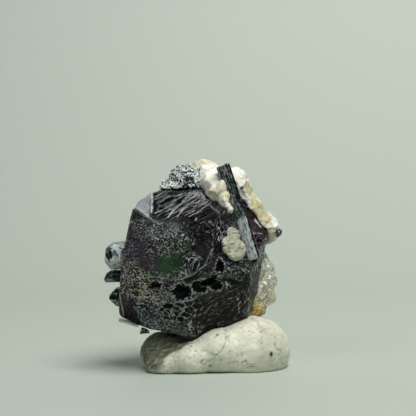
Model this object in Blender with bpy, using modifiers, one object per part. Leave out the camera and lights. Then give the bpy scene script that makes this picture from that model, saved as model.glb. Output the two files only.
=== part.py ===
# A dark fluorite crystal grown with schorl, feldspar and hyalite, held upright by a lump of soft white putty.
# The origin is the middle of the putty's flat base. +X is to the viewer's right, -Y faces the viewer, +Z is up.

import math
import random

import bmesh
import bpy
from mathutils import Matrix, Vector, noise

# All sizes below are in millimetres and all angles in degrees. The scene is in metres.
MM = 0.001
TOUCHING_GAP = 0.32
# What blending and thinning a lumpy surface may move it by, which its neighbours' gap takes in.
BLEND_ERROR = 0.15

# The block that crystals are cut from, wider than any of them.
BLOCK_SIZE = 120.0

# A crystal is listed by its facets: how far each one is turned to the right of the viewer, how far it is
# tipped up, and how far it stands from the crystal's centre.
FLUORITE_CENTRE = (-5.3, 0.0, 25.0)
FLUORITE_FACETS = {
    "front upper": (-12, 27, 12.5),
    "front right": (37, 17, 14.7),
    "front band": (26, -12, 14.3),
    "front lower left": (-26, -30, 13.5),
    "front lower right": (19, -25, 13.3),
    "lower left corner": (-40, -31, 15.1),
    "striated top": (-10, 46, 14.3),
    "top left": (-59, 74, 17.7),
    "top right": (31, 83, 18.3),
    "upper right": (63, 36, 17.1),
    "right side": (72, -10, 16.3),
    "right behind": (101, -13, 16.1),
    "left side": (-95, 10, 15.5),
    "left under": (-126, -14, 17.4),
    "under left": (-164, -79, 15.35),
    "under corner": (-107, -71, 17.5),
    "under right": (99, -69, 16.0),
    "back": (178, 8, 12.0),
    "back left": (-150, 34, 15.0),
    "back right": (140, -10, 14.0),
    "back under": (-172, -50, 15.0),
}
# The notch at the upper left, where the front crystal stops short of the one behind it.
NOTCH_FACETS = {
    "notch floor": (-95, -60, -5.3),
    "notch wall": (92, -5, -10.7),
}
REAR_FACETS = {
    "bright facet": (-36, 42, 14.9),
    "rear left": (-90, 26, 18.3),
    "rear top left": (-59, 74, 18.5),
    "rear top right": (31, 83, 17.6),
    "rear right": (60, 30, 12.0),
    "rear back": (178, 8, 11.6),
    "rear back left": (-150, 34, 14.6),
    "rear side": (-95, 10, 15.2),
    "rear low": (-100, -40, 13.0),
    "rear inner": (90, 0, 5.0),
    "rear front": (0, 0, 5.0),
    "rear under": (0, -90, 2.0),
}
# Growth steps: the facet that is stepped down, by how much, and the side on which the lower level lies.
GROWTH_STEPS = [
    ("striated top", 0.35, (-40, 50), 7.6),
    ("striated top", 0.75, (-40, 50), 11.0),
    ("striated top", 0.40, (60, 20), 9.3),
    ("front right", 0.45, (-60, -6), -3.2),
    ("front right", 0.40, (80, 30), 16.1),
    ("front lower right", 0.50, (100, -45), 11.8),
    ("front lower left", 0.45, (-95, -50), 13.6),
    ("right side", 0.40, (20, -60), 10.4),
]
# Etched pits in the lower facets: the facet, how far right and how high on it, half widths and depth.
ETCHED_PITS = [
    ("front lower left", (-7.6, 19.9), (2.2, 1.9), 1.1),
    ("front lower right", (-1.0, 21.6), (2.5, 1.2), 1.0),
    ("front band", (1.6, 25.1), (0.9, 2.0), 1.0),
    ("front lower left", (-9.6, 15.6), (1.7, 1.0), 0.8),
    ("front lower right", (-4.9, 15.6), (1.2, 1.3), 0.8),
    ("front lower left", (-13.8, 21.0), (2.2, 0.8), 0.7),
    ("front lower right", (-4.4, 18.6), (1.2, 0.8), 0.7),
]

# The long schorl prism: its axis from the free end down into the fluorite, in two lengths that meet at a break.
SCHORL_TOP = (3.0, -3.4, 48.6)
SCHORL_BREAK = (6.9, -5.5, 36.3)
SCHORL_END = (10.0, -7.2, 26.4)
SCHORL_RADIUS = 1.6
SCHORL_LOWER_RADIUS = 1.65
SCHORL_OVERLAP = 1.2
SCHORL_SLIP = (0.1, -0.1, 0.0)
SCHORL_TURNS = (20, 75)
SCHORL_SIDES = 12
# Every schorl prism has three sides that bulge by this share of its radius, low ridges along it, and some have
# a pyramid of three faces at the tip, turned and tipped like this.
SIDE_BULGE = 0.10
RIDGE_HEIGHT = 0.07
PYRAMID_TURNS = (30, 150, 270)
PYRAMID_TIP = 64

# A lump's bumps across its radius, and how far apart in the noise two lumps with seeds one apart are.
LUMP_BUMPS = 1.6
LUMP_SEED_STEPS = (7.3, 3.1, 5.7)

# Feldspar lumps: centre and half widths. They are blended into one rock, which has split along flat planes,
# listed as facets round its middle.
MATRIX_LUMPS = [
    ((-1.0, 12.0, 36.0), (11.0, 8.0, 12.0)),
    ((-1.9, 5.5, 45.2), (4.9, 5.2, 5.0)),
    ((5.7, 3.6, 43.6), (3.4, 4.8, 4.6)),
    ((5.6, 6.6, 42.0), (3.9, 7.0, 5.0)),
    ((8.2, 7.0, 37.4), (3.9, 6.6, 4.1)),
    ((10.9, 7.0, 33.4), (4.3, 7.5, 4.5)),
    ((13.3, 4.6, 32.6), (3.2, 4.2, 3.3)),
    ((-2.0, 12.0, 22.5), (13.0, 7.5, 11.5)),
    ((-12.0, 11.0, 30.0), (7.6, 6.5, 9.0)),
    ((8.4, 9.0, 21.5), (5.0, 6.5, 9.0)),
    ((3.0, 15.5, 31.0), (8.0, 5.5, 8.0)),
]
MATRIX_MIDDLE = (0.0, 8.0, 32.0)
MATRIX_BREAKS = [
    (172, 6, 11.6),
    (-148, 20, 12.6),
    (-166, -34, 13.2),
    (138, 24, 12.9),
    (120, -22, 14.2),
    (-120, -8, 14.6),
    (160, 56, 14.4),
    (60, 50, 19.6),
]
# How lumps are blended: the size of the cells, the rounds of smoothing, the share of triangles kept, and how
# uneven each lump is.
MATRIX_BLEND = (0.9, 5, 0.17, 0.16)
HYALITE_BLEND = (0.45, 2, 0.20, 0.10)
DRUSE_BLEND = (0.6, 3, 0.25, 0.12)
PUTTY_BLEND = (0.8, 10, 0.14, 0.0)
# Feldspar tongues that lie over the fluorite's upper right corner, left of the schorl.
MATRIX_TONGUES = [
    ((-0.5, 0.6, 45.3), (2.9, 4.8, 2.8)),
    ((1.0, -1.6, 42.2), (2.8, 4.6, 2.4)),
    ((2.9, -3.6, 40.0), (1.7, 4.2, 1.7)),
    ((4.3, -4.6, 38.3), (1.5, 3.6, 1.8)),
]
TONGUE_ROUGHNESS = 0.30
# The feldspar patch: lumps that lie on a facet of the fluorite, each with how far right and how high it is, and
# its half width, half thickness and half height.
PATCH_FACET = "front right"
PATCH_LUMPS = [
    ((4.6, 32.5), (2.2, 1.0, 2.1)),
    ((4.3, 30.6), (3.1, 1.0, 2.3)),
    ((5.1, 29.0), (3.7, 1.2, 2.6)),
]
PATCH_ROUGHNESS = 0.24
HYALITE_LUMPS = [
    ((12.9, 2.2, 23.7), (1.9, 2.1, 1.9)),
    ((13.2, 2.0, 20.3), (2.3, 2.4, 2.1)),
    ((12.6, 1.2, 16.7), (2.5, 2.4, 2.4)),
    ((10.6, 0.2, 13.8), (2.0, 2.0, 1.8)),
    ((11.3, -0.2, 18.6), (1.7, 1.6, 1.9)),
    ((11.4, 3.8, 25.9), (2.0, 2.6, 1.9)),
    ((12.6, 5.6, 22.0), (2.5, 3.4, 3.1)),
    ((11.8, 5.0, 16.6), (2.7, 3.4, 3.0)),
    ((10.0, 4.0, 13.3), (2.4, 3.2, 2.2)),
    ((12.3, 9.4, 19.4), (2.4, 3.2, 3.0)),
    ((11.0, 10.0, 14.6), (2.2, 2.6, 2.0)),
]

# The druse of small schorl crystals at the upper left: its bed and the crystals on it. They stand round each
# lump of the bed, one golden angle after the other, down to a little below its middle.
DRUSE_BED = [
    ((-5.8, 3.0, 44.8), (3.7, 4.4, 3.3)),
    ((-8.9, 3.2, 42.8), (3.2, 4.0, 2.5)),
    ((-3.9, 2.4, 44.3), (2.8, 4.2, 3.2)),
]
DRUSE_CRYSTALS = 84
DRUSE_RADII = (0.40, 0.85)
DRUSE_LENGTHS = (1.3, 2.0)
DRUSE_HEIGHTS = (1.0, -0.5)
DRUSE_ROOT = 0.84
DRUSE_LEAN = 0.5
DRUSE_POINT = 0.25
GOLDEN_ANGLE = 137.5

# Small crystals round the edges: centre, half widths, and the facets cut on each, as turns and tips with the
# share of the half width at which they stand.
LEFT_UPPER = ((-22.8, 1.4, 27.0), (3.4, 2.8, 3.1))
LEFT_MIDDLE = ((-23.1, 1.5, 22.1), (3.0, 2.1, 1.35))
LEFT_LOWER = ((-22.9, 1.4, 17.1), (2.2, 2.0, 2.2))
SMALL_BOTTOM = ((-16.7, -1.6, 9.3), (1.15, 1.3, 0.9))
SMALL_FACETS = [
    (-90, 5, 0.95), (-62, 48, 0.92), (-70, -42, 0.90), (-30, 12, 0.90), (-20, 58, 0.94), (-25, -40, 0.92),
    (40, 5, 0.95), (100, 10, 0.96), (150, -8, 0.92), (-140, 15, 0.92), (20, 80, 0.96), (10, -82, 0.95),
]
SMALL_RIGHT_ROOT = (13.0, 3.4, 29.8)
SMALL_RIGHT_TIP = (16.4, 1.2, 33.1)
SMALL_RIGHT_RADIUS = 0.9
BACK_UPPER_ROOT = (4.0, 13.0, 38.0)
BACK_UPPER_TIP = (7.8, 20.4, 42.4)
BACK_UPPER_RADIUS = 1.5
BACK_LOWER_ROOT = (-6.0, 12.0, 22.0)
BACK_LOWER_TIP = (-10.8, 20.6, 19.4)
BACK_LOWER_RADIUS = 1.25
PRISM_POINT = 0.4
FLAKE_MIDDLE = (-20.6, 0.6, 11.1)
FLAKE_SIZE = (5.0, 4.6, 0.55)
FLAKE_TILT = 17.0
# The flake's two broken corners: which way each faces and how far from the middle it is.
FLAKE_CORNERS = [(150, 2.3), (-50, 2.9)]

# The putty's lobes: centre and half widths. Their lower parts are cut off flat at the resting plane.
PUTTY_LOBES = [
    ((8.0, -0.6, 4.0), (10.4, 11.8, 8.5)),
    ((1.2, -6.6, 4.6), (6.6, 6.0, 5.7)),
    ((-5.4, -7.4, 3.0), (6.2, 5.4, 4.1)),
    ((-11.2, -6.6, 1.8), (5.6, 5.0, 2.9)),
    ((-11.7, 2.2, 3.0), (6.7, 8.8, 5.5)),
    ((-1.0, 3.5, 3.0), (12.0, 9.0, 5.2)),
]

# Where the unevenness of each group of lumps starts in the noise.
MATRIX_SEED = 0
DRUSE_SEED = 21
TONGUE_SEED = 31
PIT_SEED = 40
PATCH_SEED = 61
HYALITE_SEED = 71
PIT_ROUGHNESS = 0.5

COLOURS = {
    "fluorite": ((0.035, 0.025, 0.045, 1.0), 0.30),
    "feldspar": ((0.74, 0.69, 0.58, 1.0), 0.62),
    "schorl": ((0.012, 0.013, 0.015, 1.0), 0.22),
    "hyalite": ((0.78, 0.77, 0.70, 1.0), 0.12),
    "mica": ((0.62, 0.60, 0.52, 1.0), 0.30),
    "putty": ((0.72, 0.71, 0.66, 1.0), 0.78),
}


def clear_scene():
    for obj in list(bpy.data.objects):
        bpy.data.objects.remove(obj, do_unlink=True)


def new_collection(name):
    collection = bpy.data.collections.new(name)
    bpy.context.scene.collection.children.link(collection)
    return collection


def new_material(name, colour, roughness):
    material = bpy.data.materials.new(name)
    material.use_nodes = True
    shader = material.node_tree.nodes["Principled BSDF"]
    shader.inputs["Base Color"].default_value = colour
    shader.inputs["Roughness"].default_value = roughness
    shader.inputs["Metallic"].default_value = 0.0
    return material


def new_object(name, bm, collection, material=None):
    bmesh.ops.recalc_face_normals(bm, faces=bm.faces)
    mesh = bpy.data.meshes.new(name)
    bm.to_mesh(mesh)
    bm.free()
    obj = bpy.data.objects.new(name, mesh)
    collection.objects.link(obj)
    if material:
        mesh.materials.append(material)
    return obj


def as_helper(obj):
    obj.hide_render = True
    obj.display_type = "WIRE"
    return obj


def facing(turn, tip):
    """The direction that is turned to the right of the viewer and tipped up by these angles."""
    turn, tip = math.radians(turn), math.radians(tip)
    return Vector((math.sin(turn) * math.cos(tip), -math.cos(turn) * math.cos(tip), math.sin(tip)))


def cut_flat(bm, point, normal):
    """Takes away what lies beyond a plane and closes the cut with one flat face."""
    everything = bm.verts[:] + bm.edges[:] + bm.faces[:]
    cut = bmesh.ops.bisect_plane(bm, geom=everything, plane_co=point, plane_no=normal, clear_outer=True)
    rim = [item for item in cut["geom_cut"] if isinstance(item, bmesh.types.BMEdge)]
    if rim:
        bmesh.ops.edgeloop_fill(bm, edges=rim)


def faceted_body(centre, facets, grow=0.0):
    """A block cut down to its facets, each of them moved outwards by grow."""
    bm = bmesh.new()
    bmesh.ops.create_cube(bm, size=BLOCK_SIZE * MM, matrix=Matrix.Translation(Vector(centre) * MM))
    for turn, tip, distance in facets:
        normal = facing(turn, tip)
        cut_flat(bm, (Vector(centre) + normal * (distance + grow)) * MM, normal)
    return bm


def rough_lump(centre, half_widths, seed, roughness, grow=0.0, finer=3):
    """An uneven rounded lump. A lump's seed sets its unevenness, and its roughness how deep that goes."""
    bm = bmesh.new()
    bmesh.ops.create_icosphere(bm, subdivisions=finer, radius=1.0)
    offset = Vector(seed * step for step in LUMP_SEED_STEPS)
    for vertex in bm.verts:
        vertex.co *= 1.0 + roughness * noise.noise(vertex.co * LUMP_BUMPS + offset)
        vertex.co = Vector(a * (b + grow) for a, b in zip(vertex.co, half_widths))
    bmesh.ops.transform(bm, matrix=Matrix.Translation(Vector(centre)), verts=bm.verts)
    bmesh.ops.transform(bm, matrix=Matrix.Scale(MM, 4), verts=bm.verts)
    return bm


def prism(root, tip, radius, sides, grow=0.0, turn=0.0, point=0.0):
    """A schorl prism along its axis: three bulging sides with ridges, and an optional low pyramid at its tip."""
    root, tip = Vector(root), Vector(tip)
    axis = tip - root
    bm = bmesh.new()
    bmesh.ops.create_cone(bm, cap_ends=True, segments=sides, radius1=1.0, radius2=1.0, depth=1.0)
    for vertex in bm.verts:
        angle = math.atan2(vertex.co.y, vertex.co.x)
        number = round(angle / (2 * math.pi / sides))
        ridge = RIDGE_HEIGHT if number % 2 else -RIDGE_HEIGHT
        reach = radius * (1.0 - SIDE_BULGE * math.cos(3 * angle)) + ridge + grow
        vertex.co.x = reach * math.cos(angle)
        vertex.co.y = reach * math.sin(angle)
        vertex.co.z = (axis.length + grow) if vertex.co.z > 0 else -grow
    if point:
        for side in PYRAMID_TURNS:
            normal = Matrix.Rotation(math.radians(side), 3, "Z") @ facing(90, PYRAMID_TIP)
            cut_flat(bm, Vector((0, 0, axis.length + grow)) - normal * point, normal)
    place = axis.to_track_quat("Z", "Y").to_matrix().to_4x4()
    place = Matrix.Translation(root) @ place @ Matrix.Rotation(math.radians(turn), 4, "Z")
    bmesh.ops.transform(bm, matrix=place, verts=bm.verts)
    bmesh.ops.transform(bm, matrix=Matrix.Scale(MM, 4), verts=bm.verts)
    return bm


def combine(obj, operation, other, solver="EXACT"):
    """Adds a Boolean modifier with one helper or a whole collection of them."""
    modifier = obj.modifiers.new(f"{operation.lower()} {other.name}", "BOOLEAN")
    modifier.operation = operation
    modifier.solver = solver
    if isinstance(other, bpy.types.Collection):
        modifier.operand_type = "COLLECTION"
        modifier.collection = other
    else:
        modifier.object = other
    return modifier


def on_facet(facet, across, height):
    """The point of a fluorite facet that is this far right and this high."""
    turn, tip, distance = FLUORITE_FACETS[facet]
    normal = facing(turn, tip)
    middle = Vector(FLUORITE_CENTRE)
    rest = distance - normal.x * (across - middle.x) - normal.z * (height - middle.z)
    return (across, middle.y + rest / normal.y, height)


def build_fluorite(part, helpers, materials):
    """The main crystal with its notch, the crystal behind it, growth steps, pits and the schorl's groove."""
    crystal = new_object(
        "fluorite_crystal",
        faceted_body(FLUORITE_CENTRE, FLUORITE_FACETS.values()),
        part,
        materials["fluorite"],
    )
    notch = faceted_body(FLUORITE_CENTRE, NOTCH_FACETS.values())
    combine(crystal, "DIFFERENCE", as_helper(new_object("notch_cutter", notch, helpers)))
    for number, (facet, drop, side, distance) in enumerate(GROWTH_STEPS):
        turn, tip, stand = FLUORITE_FACETS[facet]
        beyond = [(turn + 180, -tip, drop - stand), (side[0] + 180, -side[1], -distance)]
        step = as_helper(new_object(f"step_cutter_{number}", faceted_body(FLUORITE_CENTRE, beyond), helpers))
        combine(crystal, "DIFFERENCE", step)
    for number, (facet, (across, height), (wide, high), depth) in enumerate(ETCHED_PITS):
        middle = on_facet(facet, across, height)
        pit = rough_lump(middle, (wide, depth, high), PIT_SEED + number, PIT_ROUGHNESS, finer=2)
        combine(crystal, "DIFFERENCE", as_helper(new_object(f"pit_cutter_{number}", pit, helpers)))
    rear = faceted_body(FLUORITE_CENTRE, REAR_FACETS.values())
    combine(crystal, "UNION", as_helper(new_object("rear_crystal", rear, helpers)))
    return crystal


def schorl_lengths(grow=0.0):
    """The long prism's two lengths: the upper one, and the lower one that has slipped a little at the break."""
    upper = prism(SCHORL_BREAK, SCHORL_TOP, SCHORL_RADIUS, SCHORL_SIDES, grow, SCHORL_TURNS[0])
    up = (Vector(SCHORL_BREAK) - Vector(SCHORL_END)).normalized()
    lower_top = Vector(SCHORL_BREAK) + up * SCHORL_OVERLAP + Vector(SCHORL_SLIP)
    lower = prism(SCHORL_END, lower_top, SCHORL_LOWER_RADIUS, SCHORL_SIDES, grow, SCHORL_TURNS[1])
    return upper, lower


def build_schorl_prism(part, helpers, materials):
    upper, lower = schorl_lengths()
    schorl = new_object("schorl_prism", upper, part, materials["schorl"])
    combine(schorl, "UNION", as_helper(new_object("schorl_lower_length", lower, helpers)))
    return schorl


def grown_fluorite():
    """The space that the fluorite needs, with the gap that its neighbours keep from it."""
    space = new_collection("fluorite_space")
    for name, facets in (("main", FLUORITE_FACETS), ("rear", REAR_FACETS)):
        body = faceted_body(FLUORITE_CENTRE, facets.values(), grow=TOUCHING_GAP)
        as_helper(new_object(f"fluorite_space_{name}", body, space))
    space.hide_render = True
    return space


def grown_schorl():
    """The groove that the long schorl prism needs."""
    space = new_collection("schorl_space")
    for number, length in enumerate(schorl_lengths(TOUCHING_GAP)):
        as_helper(new_object(f"schorl_space_{number}", length, space))
    space.hide_render = True
    return space


def blended(name, rows, seed, blend, grow=0.0):
    """One closed surface round all of the lumps, with soft creases between them."""
    cell, smoothing, share, roughness = blend
    bm = bmesh.new()
    for number, row in enumerate(rows):
        lump = rough_lump(*row, seed + number, roughness, grow=grow, finer=4)
        mesh = bpy.data.meshes.new(name)
        lump.to_mesh(mesh)
        lump.free()
        bm.from_mesh(mesh)
        bpy.data.meshes.remove(mesh)
    lumps = new_object(f"{name}_lumps", bm, bpy.context.scene.collection)
    remesh = lumps.modifiers.new("joined", "REMESH")
    remesh.mode = "VOXEL"
    remesh.voxel_size = cell * MM
    smooth = lumps.modifiers.new("smoothed", "SMOOTH")
    smooth.iterations = smoothing
    fewer = lumps.modifiers.new("fewer faces", "DECIMATE")
    fewer.ratio = share
    bpy.context.view_layer.update()
    graph = bpy.context.evaluated_depsgraph_get()
    shaped = bpy.data.meshes.new_from_object(lumps.evaluated_get(graph))
    bpy.data.objects.remove(lumps)
    bm = bmesh.new()
    bm.from_mesh(shaped)
    bpy.data.meshes.remove(shaped)
    return bm


def matrix_rock(grow=0.0):
    """The feldspar rock, split flat along its breaks."""
    bm = blended("matrix", MATRIX_LUMPS, MATRIX_SEED, MATRIX_BLEND, grow)
    for turn, tip, distance in MATRIX_BREAKS:
        normal = facing(turn, tip)
        cut_flat(bm, (Vector(MATRIX_MIDDLE) + normal * (distance + grow)) * MM, normal)
    return bm


def tongues(name, grow=0.0):
    """The feldspar tongues as a collection of helpers."""
    collection = new_collection(name)
    for number, row in enumerate(MATRIX_TONGUES):
        tongue = rough_lump(*row, TONGUE_SEED + number, TONGUE_ROUGHNESS, grow=grow, finer=2)
        as_helper(new_object(f"{name}_{number}", tongue, collection))
    collection.hide_render = True
    return collection


def hyalite_body(grow=0.0):
    return blended("hyalite", HYALITE_LUMPS, HYALITE_SEED, HYALITE_BLEND, grow)


def build_patch(part, helpers, materials):
    """Low feldspar lumps that have grown into each other on a facet of the fluorite."""
    turn, tip, _ = FLUORITE_FACETS[PATCH_FACET]
    lie = Matrix.Rotation(math.radians(turn), 4, "Z") @ Matrix.Rotation(math.radians(-tip), 4, "X")
    lumps = []
    for number, (place, half_widths) in enumerate(PATCH_LUMPS):
        lump = rough_lump((0, 0, 0), half_widths, PATCH_SEED + number, PATCH_ROUGHNESS, finer=2)
        middle = Vector(on_facet(PATCH_FACET, *place)) * MM
        bmesh.ops.transform(lump, matrix=Matrix.Translation(middle) @ lie, verts=lump.verts)
        lumps.append(lump)
    patch = new_object("feldspar_patch", lumps[0], part, materials["feldspar"])
    for number, lump in enumerate(lumps[1:]):
        combine(patch, "UNION", as_helper(new_object(f"patch_lump_{number}", lump, helpers)))
    return patch


def inside_matrix(point, margin):
    """Whether a point lies in one of the feldspar lumps or within the margin of it."""
    for centre, half_widths in MATRIX_LUMPS:
        offsets = ((a - b) / (c + margin) for a, b, c in zip(point, centre, half_widths))
        if sum(offset * offset for offset in offsets) < 1.0:
            return True
    return False


def build_druse(part, materials):
    """A bed with many small stubby schorl crystals standing out of it in every direction."""
    bed = blended("druse", DRUSE_BED, DRUSE_SEED, DRUSE_BLEND)
    druse = new_object("schorl_druse", bed, part, materials["schorl"])
    crystals = new_collection("druse_crystals")
    chance = random.Random(11)
    highest, lowest = DRUSE_HEIGHTS
    for number in range(DRUSE_CRYSTALS):
        centre, half_widths = DRUSE_BED[number % len(DRUSE_BED)]
        height = highest + (lowest - highest) * (number + 0.5) / DRUSE_CRYSTALS
        around = math.radians(number * GOLDEN_ANGLE)
        level = math.sqrt(1.0 - height * height)
        out = Vector((level * math.cos(around), level * math.sin(around), height))
        start = Vector(centre) + Vector(a * b * DRUSE_ROOT for a, b in zip(out, half_widths))
        lean = Vector(chance.uniform(-DRUSE_LEAN, DRUSE_LEAN) for _ in range(3))
        way = (out + lean).normalized()
        length = chance.uniform(*DRUSE_LENGTHS)
        radius = chance.uniform(*DRUSE_RADII)
        if inside_matrix(start + way * length, radius):
            continue
        turn = chance.uniform(0, 60)
        body = prism(start, start + way * length, radius, 6, turn=turn, point=DRUSE_POINT)
        as_helper(new_object(f"druse_crystal_{number}", body, crystals))
    crystals.hide_render = True
    combine(druse, "UNION", crystals, "MANIFOLD")
    return druse


def small_crystal(name, place, turn, part, material):
    """A stubby many-faced crystal, cut out of a block while its half widths are all 1 and then stretched."""
    centre, half_widths = place
    bm = bmesh.new()
    bmesh.ops.create_cube(bm, size=4.0)
    for side, tip, kept in SMALL_FACETS:
        normal = facing(side + turn, tip)
        cut_flat(bm, normal * kept, normal)
    for vertex in bm.verts:
        vertex.co = Vector((a * b + c) * MM for a, b, c in zip(vertex.co, half_widths, centre))
    return new_object(name, bm, part, material)


def build_flake(part, materials):
    """The thin plate under the lower left corner."""
    bm = bmesh.new()
    bmesh.ops.create_cube(bm, size=1.0)
    bmesh.ops.scale(bm, vec=Vector(FLAKE_SIZE) * MM, verts=bm.verts)
    for turn, distance in FLAKE_CORNERS:
        corner = facing(turn, 0)
        cut_flat(bm, corner * distance * MM, corner)
    place = Matrix.Translation(Vector(FLAKE_MIDDLE) * MM) @ Matrix.Rotation(math.radians(FLAKE_TILT), 4, "Y")
    bmesh.ops.transform(bm, matrix=place, verts=bm.verts)
    return new_object("mica_flake", bm, part, materials["mica"])


def build_putty(part, materials):
    """Soft lobes pressed together, smoothed, and flat where the lump rests."""
    bm = blended("putty", PUTTY_LOBES, 0, PUTTY_BLEND)
    cut_flat(bm, Vector((0, 0, 0)), Vector((0, 0, -1)))
    return new_object("putty_rest", bm, part, materials["putty"])


def build_specimen():
    clear_scene()
    part = new_collection("fluorite_with_schorl_specimen")
    helpers = new_collection("cutters")
    helpers.hide_render = True
    materials = {name: new_material(name, *look) for name, look in COLOURS.items()}

    fluorite_space = grown_fluorite()
    schorl_space = grown_schorl()
    matrix_space = as_helper(new_object("matrix_space", matrix_rock(TOUCHING_GAP + BLEND_ERROR), helpers))
    hyalite_space = as_helper(new_object("hyalite_space", hyalite_body(TOUCHING_GAP + BLEND_ERROR), helpers))
    tongue_space = tongues("tongue_space", TOUCHING_GAP)

    fluorite = build_fluorite(part, helpers, materials)
    combine(fluorite, "DIFFERENCE", schorl_space)
    combine(fluorite, "DIFFERENCE", tongue_space)
    build_schorl_prism(part, helpers, materials)
    matrix = new_object("feldspar_matrix", matrix_rock(), part, materials["feldspar"])
    combine(matrix, "DIFFERENCE", fluorite_space)
    combine(matrix, "UNION", tongues("matrix_tongues"))
    combine(matrix, "DIFFERENCE", schorl_space)

    patch = build_patch(part, helpers, materials)
    combine(patch, "DIFFERENCE", fluorite_space)
    combine(patch, "DIFFERENCE", schorl_space)
    hyalite = new_object("hyalite_lumps", hyalite_body(), part, materials["hyalite"])
    combine(hyalite, "DIFFERENCE", fluorite_space)
    combine(hyalite, "DIFFERENCE", matrix_space)
    druse = build_druse(part, materials)
    combine(druse, "DIFFERENCE", fluorite_space, "MANIFOLD")
    combine(druse, "DIFFERENCE", matrix_space, "MANIFOLD")
    combine(druse, "DIFFERENCE", tongue_space, "MANIFOLD")

    for name, place, turn in (
        ("schorl_left_upper", LEFT_UPPER, 0),
        ("schorl_left_middle", LEFT_MIDDLE, 25),
        ("schorl_left_lower", LEFT_LOWER, -20),
        ("schorl_small_bottom", SMALL_BOTTOM, 40),
    ):
        crystal = small_crystal(name, place, turn, part, materials["schorl"])
        combine(crystal, "DIFFERENCE", fluorite_space)
    for name, root, tip, radius in (
        ("schorl_small_right", SMALL_RIGHT_ROOT, SMALL_RIGHT_TIP, SMALL_RIGHT_RADIUS),
        ("schorl_back_upper", BACK_UPPER_ROOT, BACK_UPPER_TIP, BACK_UPPER_RADIUS),
        ("schorl_back_lower", BACK_LOWER_ROOT, BACK_LOWER_TIP, BACK_LOWER_RADIUS),
    ):
        body = prism(root, tip, radius, SCHORL_SIDES, point=PRISM_POINT)
        crystal = new_object(name, body, part, materials["schorl"])
        combine(crystal, "DIFFERENCE", matrix_space)
    flake = build_flake(part, materials)
    combine(flake, "DIFFERENCE", fluorite_space)
    putty = build_putty(part, materials)
    for space in (fluorite_space, hyalite_space, matrix_space):
        combine(putty, "DIFFERENCE", space)


build_specimen()
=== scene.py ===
import math
import random

import bmesh
import bpy
import numpy as np
from mathutils import Matrix, Vector, noise
from mathutils.bvhtree import BVHTree
from mathutils.kdtree import KDTree


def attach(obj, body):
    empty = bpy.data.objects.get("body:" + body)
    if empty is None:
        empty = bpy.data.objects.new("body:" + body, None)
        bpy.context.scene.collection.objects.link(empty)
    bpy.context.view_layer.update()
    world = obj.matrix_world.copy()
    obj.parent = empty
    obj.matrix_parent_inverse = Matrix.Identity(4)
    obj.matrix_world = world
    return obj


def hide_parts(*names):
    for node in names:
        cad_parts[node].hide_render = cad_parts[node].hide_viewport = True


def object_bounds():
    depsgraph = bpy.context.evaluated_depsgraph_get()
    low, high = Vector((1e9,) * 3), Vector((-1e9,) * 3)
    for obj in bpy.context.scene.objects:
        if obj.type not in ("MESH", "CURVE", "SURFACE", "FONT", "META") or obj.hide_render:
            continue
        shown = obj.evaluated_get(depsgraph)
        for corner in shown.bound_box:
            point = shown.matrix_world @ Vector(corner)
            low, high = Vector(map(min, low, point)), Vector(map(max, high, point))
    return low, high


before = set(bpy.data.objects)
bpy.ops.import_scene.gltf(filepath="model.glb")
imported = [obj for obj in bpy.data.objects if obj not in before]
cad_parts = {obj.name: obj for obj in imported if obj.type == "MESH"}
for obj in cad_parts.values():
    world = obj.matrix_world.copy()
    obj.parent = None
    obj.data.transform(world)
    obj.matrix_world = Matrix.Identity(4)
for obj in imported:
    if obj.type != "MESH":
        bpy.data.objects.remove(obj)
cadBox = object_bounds()
scene = bpy.context.scene
mm = 0.001  # sizes below are in millimetres, Blender's are in metres
print("frame loaded:", len(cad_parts), "solids")


def putInScene(name, data):
    thing = bpy.data.objects.new(name, data)
    scene.collection.objects.link(thing)
    return thing


def finishedMesh(piece):
    # the mesh with the object's modifiers done
    return bpy.data.meshes.new_from_object(piece.evaluated_get(bpy.context.evaluated_depsgraph_get()))


def hexColour(code):
    # an sRGB hex value as the linear colour that the shaders take
    shades = [int(code[start:start + 2], 16) / 255 for start in (0, 2, 4)]
    return (*[s / 12.92 if s <= 0.04045 else ((s + 0.055) / 1.055) ** 2.4 for s in shades], 1.0)


def findSocket(sockets, name):
    # by number, or the one of that name that is switched on
    return sockets[name] if isinstance(name, int) else next(s for s in sockets if s.name == name and s.enabled)


def linkInputs(tree, node, links):
    for name, source in links.items():
        if isinstance(source, bpy.types.Node):
            source = next(s for s in source.outputs if s.enabled)
        tree.links.new(source, findSocket(node.inputs, name))


def addNode(tree, kind, values=None, links=None, stops=None, **properties):
    node = tree.nodes.new("ShaderNode" + kind)
    for name, value in properties.items():
        setattr(node, name, value)
    for name, value in (values or {}).items():
        findSocket(node.inputs, name).default_value = hexColour(value) if isinstance(value, str) else value
    linkInputs(tree, node, links or {})
    for number, (place, colour) in enumerate(stops or ()):
        elements = node.color_ramp.elements
        stop = elements[number] if number < 2 else elements.new(place)
        stop.position = place
        stop.color = hexColour(colour)
    return node


def newMaterial(name, **settings):
    material = bpy.data.materials.new(name)
    material.use_nodes = True
    tree = material.node_tree
    shader = tree.nodes["Principled BSDF"]
    for socketName, value in settings.items():
        shader.inputs[socketName.replace("_", " ")].default_value = value
    return material, tree, shader


def readMasks(tree, *names):
    # the three masks in each of a piece's colour attributes
    masks = []
    for name in names:
        colour = addNode(tree, "Attribute", attribute_name=name).outputs["Color"]
        masks += addNode(tree, "SeparateColor", links={"Color": colour}).outputs
    return masks


def perMm(size):
    # the scale of a pattern on Object coordinates whose features are this many millimetres wide
    return 1 / (size * mm)


# The camera stands in front at table height and looks slightly down.
cameraSettings = {
    "lens": 150,
    "sensor": 36,
    "pictureWidth": 416,
    "mmPerPixel": 0.24,
    "aim": (-1.02, 0.0, 38.4),
    "lookDown": 3,
    "roll": 1,
}


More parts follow.
